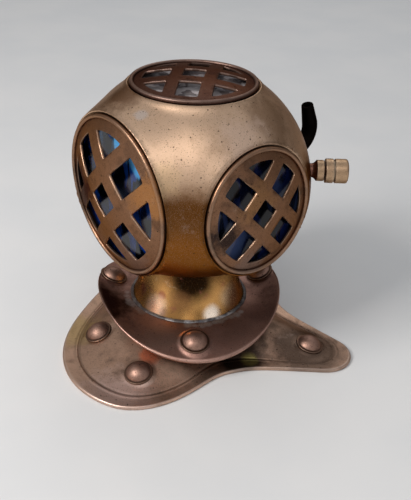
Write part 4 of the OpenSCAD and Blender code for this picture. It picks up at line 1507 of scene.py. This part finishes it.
# ---------------------------------------------------------------- collar and plate
@dataclass(frozen=True)
class Fastening:
    """A rivet with its washer and the pad under them."""

    head_r: float
    sheet: float
    pad: float
    head_h: float = 3.2
    washer_t: float = 0.6
    washer_show: float = 0.9
    shank: float = 2.0
    closed_r: float = 3.0
    closed_h: float = 0.8

    def rivet_form(self, seed: float) -> Form:
        """The domed head, a cap of a sphere with a rounded foot, and the shank with its closed end.

        Args:
            seed: makes each head a little different.

        Returns:
            The rivet.
        """
        head, shank, closed = self.head_r, self.shank, self.closed_r
        ball = (head**2 + self.head_h**2) / (2 * self.head_h)
        base = self.pad + self.washer_t
        centre = base + self.head_h - ball
        t = np.linspace(0, np.arcsin(min(1.0, (head - 0.12) / ball)), 18)
        under = -self.sheet - 0.1
        low = under - self.closed_h
        profile = [*zip(ball * np.sin(t), centre + ball * np.cos(t)), (head, base + 0.22), (head - 0.06, base)]
        profile += [(shank, base), (shank, -self.sheet), (shank, under), (closed, under)]
        profile += [(closed, low + 0.2), (closed - 0.2, low), (0, low)]
        r, z = np.array(profile).T
        seam = np.clip(1 - (z - base) / 0.5, 0, 1) * (r > shank + 0.1)
        return revolved(profile, 72, wobble=0.004, seed=seed, seam=seam)

    def washer_form(self) -> Form:
        """The washer: a flat ring with a rounded edge.

        Returns:
            The washer, on its pad above the sheet's plane.
        """
        out, low, high = self.head_r + self.washer_show, self.pad, self.pad + self.washer_t
        hole = self.shank + 0.1
        profile = [(hole, low), (out - 0.1, low), (out, low + 0.12)] + arc((out - 0.28, high - 0.28), 0.28, 0, 90, 4)
        profile += [(self.head_r - 0.4, high), (hole, high)]
        r, z = np.array(profile).T
        # The washer's rim is lightened, partly as a painted highlight.
        edge = 0.8 * np.clip((r - out + 0.4) / 0.3, 0, 1) * np.clip((z - low - 0.1) / 0.2, 0, 1)
        return revolved(profile, 80, ring=True, wobble=0.002, edge=edge)


@dataclass
class RivetedSheet(ABC):
    """A sheet round the neck: one closed section carried round all bearings, with a flat pad under each rivet."""

    label: str
    piece: str
    node: str
    slot: str
    fastening: Fastening
    rivets: tuple[tuple[float, float], ...]
    bearing: float
    thick: float
    land: float
    land_r: float
    curve: float
    sectors: int
    rows: int
    spread: float
    trim: float
    lip: float
    lip_r: float
    skin: float
    shoulder: float
    shoulder_w: float
    first_seed: int
    hole_r: float = 21.5

    @abstractmethod
    def outline(self, bearing: Array) -> Array:
        """Reach of the sheet at a bearing in degrees from its own zero."""

    @abstractmethod
    def height(self, r: Array, bearing: Array) -> Array:
        """Height of the sheet's top at a distance from the neck's axis and a bearing."""

    @abstractmethod
    def pressed(self, inset: Array) -> Array:
        """Height of the lines pressed into the sheet, by the distance from its edge."""

    @abstractmethod
    def marks(self, inset: Array) -> dict[str, Array]:
        """The sheet's lightened edge (worn, and partly a painted highlight) and darkened lines, by the distance from
        its edge.
        """

    def lean(self, r: float, bearing: float) -> float:
        """How far the sheet leans round the turn, in radians; rivets lean with it."""
        return 0.0

    def rivet_places(self) -> list[Array]:
        """The matrix of each rivet, from the neck's axis: +Z square to the sheet.

        Returns:
            One matrix for each rivet.
        """
        places = []
        for r, a in self.rivets:
            z = self.height(r + np.array([-0.5, 0, 0.5]), np.full(3, float(a)))
            lean = self.lean(r, a)
            fall = -np.degrees(np.arctan((z[2] - z[0]) * np.cos(lean)))
            tilt = turn(float(np.degrees(lean)), "X") @ turn(float(fall), "Y")
            places.append(turn(self.bearing + a, "Z") @ shift(r, 0, float(z[1])) @ tilt)
        return places

    def with_pads(self, x: Array, y: Array, z: Array) -> Array:
        """Raises the sheet to a flat pad under each rivet, with a soft shoulder.

        Args:
            x: points' x from the neck's axis.
            y: points' y.
            z: their height.

        Returns:
            The new heights.
        """
        for place in self.rivet_places():
            spot, normal = place[:3, 3], place[:3, 2]
            dx, dy = x - spot[0], y - spot[1]
            level = spot[2] + self.fastening.pad - 0.03 - (normal[0] * dx + normal[1] * dy) / normal[2]
            past = np.hypot(dx, dy) - self.fastening.head_r - self.shoulder
            share = 1 / (1 + np.exp(past / self.shoulder_w))
            z = z * (1 - share) + level * share
        return z

    def sheet_form(self) -> Form:
        """The sheet: its section runs from the hole over the top to the rounded edge and back below.

        Returns:
            The sheet in its place.
        """
        a = np.linspace(0, 360, self.sectors, endpoint=False)[None, :]
        rad = np.radians(a + self.bearing)
        reach = self.outline(a) - self.trim
        steps = np.linspace(0, 1, self.rows)[:, None] ** self.spread
        top_r = self.hole_r + (reach - self.lip - self.hole_r) * steps
        inset = reach - top_r
        top_z = self.height(top_r, a) + self.pressed(inset)
        top_z = self.with_pads(top_r * np.cos(rad), top_r * np.sin(rad), top_z)
        bend = np.radians(np.linspace(80, -80, 9))[:, None]
        edge_r = reach - self.lip_r + self.lip_r * np.cos(bend)
        edge_z = self.height(reach, a) - self.thick / 2 + (self.thick / 2 - self.skin) * np.sin(bend)
        low_r = top_r[::-1]
        r = np.concatenate([top_r, edge_r, low_r])
        z = np.concatenate([top_z, edge_z, self.height(low_r, a) - self.thick])
        inset = np.concatenate([inset, np.zeros_like(edge_r), np.full_like(low_r, 30)])
        return surface(polar(r, rad, z), ring_rows=True, ring_columns=True, **self.marks(inset)).placed(on_axis())

    def build(self, finishes: dict[str, bpy.types.Material]) -> None:
        """Makes the sheet, its rivets and its washers.

        Args:
            finishes: the materials by name.
        """
        body, label = Body.BASE, self.label
        make_piece(self.piece, self.node, self.sheet_form(), body, finishes[label], 60)
        places = [on_axis() @ place for place in self.rivet_places()]
        rivets = [self.fastening.rivet_form(self.first_seed + k).placed(place) for k, place in enumerate(places)]
        washers = [self.fastening.washer_form().placed(place) for place in places]
        make_piece(f"rivets_{label}", f"{label}_rivets", joined(rivets), body, finishes["rivet"])
        make_piece(f"washers_{label}", f"{label}_washers", joined(washers), body, finishes["washer"])


def hump(t: Array) -> Array:
    """A raised cosine: 1 at 0, falling to 0 at -1 and 1."""
    return np.maximum(0, np.cos(np.pi / 2 * np.minimum(1, np.abs(t)))) ** 2.4


@dataclass
class Breastplate(RivetedSheet):
    """The sheet plate: two lobes and a tail, a flat border, a hollow rise and a flat land."""

    label: str = "plate"
    piece: str = "plate"
    node: str = "breastplate"
    slot: str = "plate_brass"
    fastening: Fastening = Fastening(5.1, 1.8, 0.35)
    rivets: tuple[tuple[float, float], ...] = ((51, -89), (43.3, -130), (51, 89), (43.3, 130), (58, 0))
    bearing: float = 0.0
    thick: float = 1.8
    land: float = 14.3
    land_r: float = 25.5
    curve: float = 1.4
    sectors: int = 480
    rows: int = 72
    spread: float = 0.85
    trim: float = 0.1
    lip: float = 0.7
    lip_r: float = 0.62
    skin: float = 0.02
    shoulder: float = 1.5
    shoulder_w: float = 0.22
    first_seed: int = 0
    border: float = 7.0
    tail: float = 76.7
    tip: float = 12.3
    half_deg: float = 21.7
    lobe: float = 70.5
    lobe_bearing: float = 92.0
    lobe_deg: float = 52.0
    waist: float = 44.0
    heel: float = 47.0
    ridge_at: float = 6.4
    groove_at: float = 7.6

    def outline(self, bearing: Array) -> Array:
        """Reach of the plate at a bearing in degrees, the same on both sides of the tail.

        The tail is two straight sides and a round tip; the lobes are a raised cosine between waist and heel.
        Where both run, the plate takes the 16th root of the sum of their 16th powers.

        Args:
            bearing: degrees from the tail.

        Returns:
            The reach in millimetres.
        """
        a = np.abs(bearing - 360 * np.round(bearing / 360))
        half, tip_x = np.radians(self.half_deg), self.tail - self.tip
        side_x = tip_x + self.tip / np.sin(half)
        limit = np.degrees(np.arctan2(self.tip * np.cos(half), tip_x + self.tip * np.sin(half)))
        rad = np.radians(a)
        straight = side_x * np.sin(half) / np.maximum(0.05, np.sin(rad + half))
        rounded = tip_x * np.cos(rad) + np.sqrt(np.maximum(0, self.tip**2 - (tip_x * np.sin(rad)) ** 2))
        tail = np.where(a < limit, rounded, straight)
        near = self.waist + (self.lobe - self.waist) * hump((self.lobe_bearing - a) / self.lobe_deg)
        back = self.heel + (self.lobe - self.heel) * hump((a - self.lobe_bearing) / (180 - self.lobe_bearing))
        lobe = np.where(a < self.lobe_bearing, near, back)
        return np.where(a < 90, (tail**16 + lobe**16) ** (1 / 16), lobe)

    def height(self, r: Array, bearing: Array) -> Array:
        """Height of the top: flat border, then thick + (land - thick) s^curve towards the flat land.

        Args:
            r: distance from the neck's axis.
            bearing: degrees from the tail.

        Returns:
            The height.
        """
        edge = self.outline(bearing) - self.border
        s = np.clip((edge - r) / (edge - self.land_r), 0, 1)
        return self.thick + (self.land - self.thick) * s**self.curve

    def pressed(self, inset: Array) -> Array:
        """A low ridge along the border and a fine groove just inside it."""
        ridge = np.exp(-(((inset - self.ridge_at) / 0.55) ** 2))
        return 0.32 * ridge - 0.22 * np.exp(-(((inset - self.groove_at) / 0.6) ** 2))

    def marks(self, inset: Array) -> dict[str, Array]:
        """A crisp edge, worn and partly a painted highlight, and a darker groove."""
        return {"edge": 0.9 * (inset < 0.9), "seam": 0.5 * np.exp(-(((inset - self.groove_at) / 0.5) ** 2))}


@dataclass
class Collar(RivetedSheet):
    """The oval collar, a saddle whose ends are low and whose sides are high."""

    label: str = "collar"
    piece: str = "collar_sheet"
    node: str = "collar"
    slot: str = "collar_copper"
    fastening: Fastening = Fastening(5.3, 1.3, 0.75)
    rivets: tuple[tuple[float, float], ...] = ((37.6, -4), (35.4, -111), (37.6, 176), (35.4, 103))
    bearing: float = -57.5
    thick: float = 1.3
    land: float = 15.6
    land_r: float = 27.0
    curve: float = 1.6
    sectors: int = 360
    rows: int = 48
    spread: float = 1.0
    trim: float = 0.0
    lip: float = 0.55
    lip_r: float = 0.5
    skin: float = 0.0
    shoulder: float = 1.4
    shoulder_w: float = 0.25
    first_seed: int = 7
    long: float = 46.3
    short: float = 40.5
    low: float = 10.4
    high: float = 21.0

    def outline(self, bearing: Array) -> Array:
        """Reach of the oval at a bearing in degrees from its front end."""
        a = np.radians(bearing)
        return self.long * self.short / np.sqrt((self.short * np.cos(a)) ** 2 + (self.long * np.sin(a)) ** 2)

    def height(self, r: Array, bearing: Array) -> Array:
        """Height of the top: from the land to the rim's height by t^curve, the rim following cos 2a.

        Args:
            r: distance from the neck's axis.
            bearing: degrees from the front end.

        Returns:
            The height.
        """
        rim = (self.low + self.high) / 2 + (self.low - self.high) / 2 * np.cos(2 * np.radians(bearing))
        t = np.clip((r - self.land_r) / (self.outline(bearing) - self.land_r), 0, 1)
        return self.land + (rim - self.land) * t**self.curve

    def lean(self, r: float, bearing: float) -> float:
        """The saddle's slope round the turn, measured over a millimetre."""
        side = self.height(np.full(2, r), bearing + np.degrees([-0.5 / r, 0.5 / r]))
        return float(np.arctan(side[1] - side[0]))

    def pressed(self, inset: Array) -> Array:
        """The collar is plain."""
        return 0 * inset

    def marks(self, inset: Array) -> dict[str, Array]:
        """A soft edge, worn and partly a painted highlight."""
        return {"edge": np.clip(1.5 - inset, 0, 1)}


# ---------------------------------------------------------------- studio
# The bearing of the camera's right, its cosine and sine, and the place that the lamps look at, in metres.
VIEW_DEG = 22.5
VIEW_COS_SIN = (0.9239, 0.3827)
LIT_PLACE = (-0.013, 0, 0.06)


class Lamp(NamedTuple):
    """A square soft lamp that looks at the helmet, placed as the camera stands."""

    name: str
    right: float
    away: float
    up: float
    distance: float
    side: float
    watts: float
    tint: Point

    def build(self) -> None:
        """Makes the lamp; its direction is turned from the camera's ground line into the frame."""
        data = bpy.data.lights.new(self.name, "AREA")
        data.shape, data.size, data.energy, data.color = "SQUARE", self.side, self.watts, self.tint
        lamp = bpy.data.objects.new(self.name, data)
        cos, sin = VIEW_COS_SIN
        way = Vector((cos * self.right - sin * self.away, sin * self.right + cos * self.away, self.up)).normalized()
        lamp.location = Vector(LIT_PLACE) + way * self.distance
        lamp.rotation_euler = way.to_track_quat("Z", "Y").to_euler()
        bpy.context.scene.collection.objects.link(lamp)


LAMPS = (
    Lamp("front", 0.0, -0.62, 0.78, 0.75, 0.36, 0.5, (1.0, 0.97, 0.97)),
    Lamp("key", -0.62, -0.46, 0.63, 0.75, 0.30, 4.2, (1.0, 0.98, 0.97)),
    Lamp("low", 0.05, -0.97, 0.20, 0.95, 0.4, 0.32, (1.0, 0.98, 0.95)),
    Lamp("left", -0.93, -0.34, 0.10, 0.9, 0.5, 0.6, (1.0, 0.98, 0.96)),
    Lamp("right", 0.71, -0.69, 0.12, 0.9, 0.45, 0.5, (0.97, 0.98, 1.0)),
    Lamp("rim", 0.1, 0.8, 0.8, 0.9, 0.45, 0.9, (0.9, 0.95, 1.0)),
)


@dataclass
class Studio:
    """The camera, the floor and the light."""

    lens: float = 62.6
    pitch: float = 29.55
    roll: float = 2.07
    offset: Point = (-5.9, -29.03, 365.96)
    floor_half: float = 4.0
    horizon: Point = (0.11, 0.095, 0.09)
    zenith: Point = (0.46, 0.47, 0.49)
    sky_from: float = -0.05
    sky_to: float = 0.75

    def camera(self) -> None:
        """Sets the camera that was measured from the photograph: its axes are those of the roll times the pitch."""
        tilt = turn(self.roll, "Z")[:3, :3] @ turn(90 + self.pitch, "X")[:3, :3]
        frame = turn(VIEW_DEG, "Z")[:3, :3] @ tilt.T
        data = bpy.data.cameras.new("camera")
        data.lens, data.sensor_width, data.sensor_fit = self.lens, 36.0, "AUTO"
        data.clip_start, data.clip_end = 0.01, 20.0
        camera = bpy.data.objects.new("camera", data)
        place = np.eye(4)
        place[:3, :3] = frame @ np.diag([1, -1, -1])
        place[:3, 3] = (CENTRE - frame @ np.array(self.offset)) * MM
        camera.matrix_world = Matrix(place.tolist())
        bpy.context.scene.collection.objects.link(camera)
        bpy.context.scene.camera = camera

    def floor(self) -> None:
        """A wide pale floor."""
        half = self.floor_half
        mesh = bpy.data.meshes.new("floor")
        mesh.from_pydata([(-half, -half, 0), (half, -half, 0), (half, half, 0), (-half, half, 0)], [], [(0, 1, 2, 3)])
        floor = bpy.data.objects.new("floor", mesh)
        bpy.context.scene.collection.objects.link(floor)
        s = Shader("floor_pale")
        colour = s.mixed(s.noise(60).step(0.3, 0.7), (214, 214, 213), (219, 218, 216))
        mesh.materials.append(s.finish({"Base Color": colour, "Roughness": 0.85}))

    def sky(self) -> None:
        """A world that goes from the horizon's colour to the zenith's."""
        world = bpy.data.worlds.new("world")
        bpy.context.scene.world = world
        world.use_nodes = True
        nodes = Nodes(world.node_tree)
        ways = nodes.add("ShaderNodeTexCoord").outputs["Generated"]
        split = nodes.add("ShaderNodeSeparateXYZ", None, {0: ways})
        height = Value(nodes, split.outputs[2]).step(self.sky_from, self.sky_to)
        ends = {0: height, 6: (*self.horizon, 1), 7: (*self.zenith, 1)}
        colour = nodes.add("ShaderNodeMix", {"data_type": "RGBA"}, ends).outputs[2]
        nodes.tree.links.new(colour, nodes.tree.nodes["Background"].inputs[0])

    def build(self) -> None:
        """Makes the camera, the floor, the lamps and the sky."""
        self.camera()
        self.floor()
        for lamp in LAMPS:
            lamp.build()
        self.sky()
        bpy.context.scene.view_settings.view_transform = "Standard"


def dress_nodes(nodes: dict[str, bpy.types.Object], finishes: dict[str, bpy.types.Material]) -> None:
    """Gives the CAD nodes that stay their materials.

    Args:
        nodes: the CAD nodes by name.
        finishes: the materials by name.
    """
    plain = ("clamp_ring", "inlet_nut", "valve_nut", "keeper_front", "keeper_left", "keeper_right", "keeper_top")
    chosen = {
        "bonnet_ring": "shell", **dict.fromkeys(plain, "inner"), "pane_front": "pane_front",
        "pane_left": "pane_side", "pane_right": "pane_side", "pane_top": "pane_top",
    }
    for node, finish in chosen.items():
        for holder in nodes[node].material_slots:
            holder.material = finishes[finish]
        LOG.info("%s dressed as %s", node, finish)


def main() -> None:
    """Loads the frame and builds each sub-assembly in order."""
    logging.basicConfig(level=logging.INFO, format="%(message)s")
    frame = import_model()
    Studio().build()
    finishes = {name: finish.build() for name, finish in FINISHES.items()}
    for part in (Bonnet(), RearFitting(), ExhaustValve(), Neck(), Collar(), Breastplate()):
        part.build(finishes)
    dress_nodes(frame["nodes"], finishes)


if __name__ == "__main__":
    main()
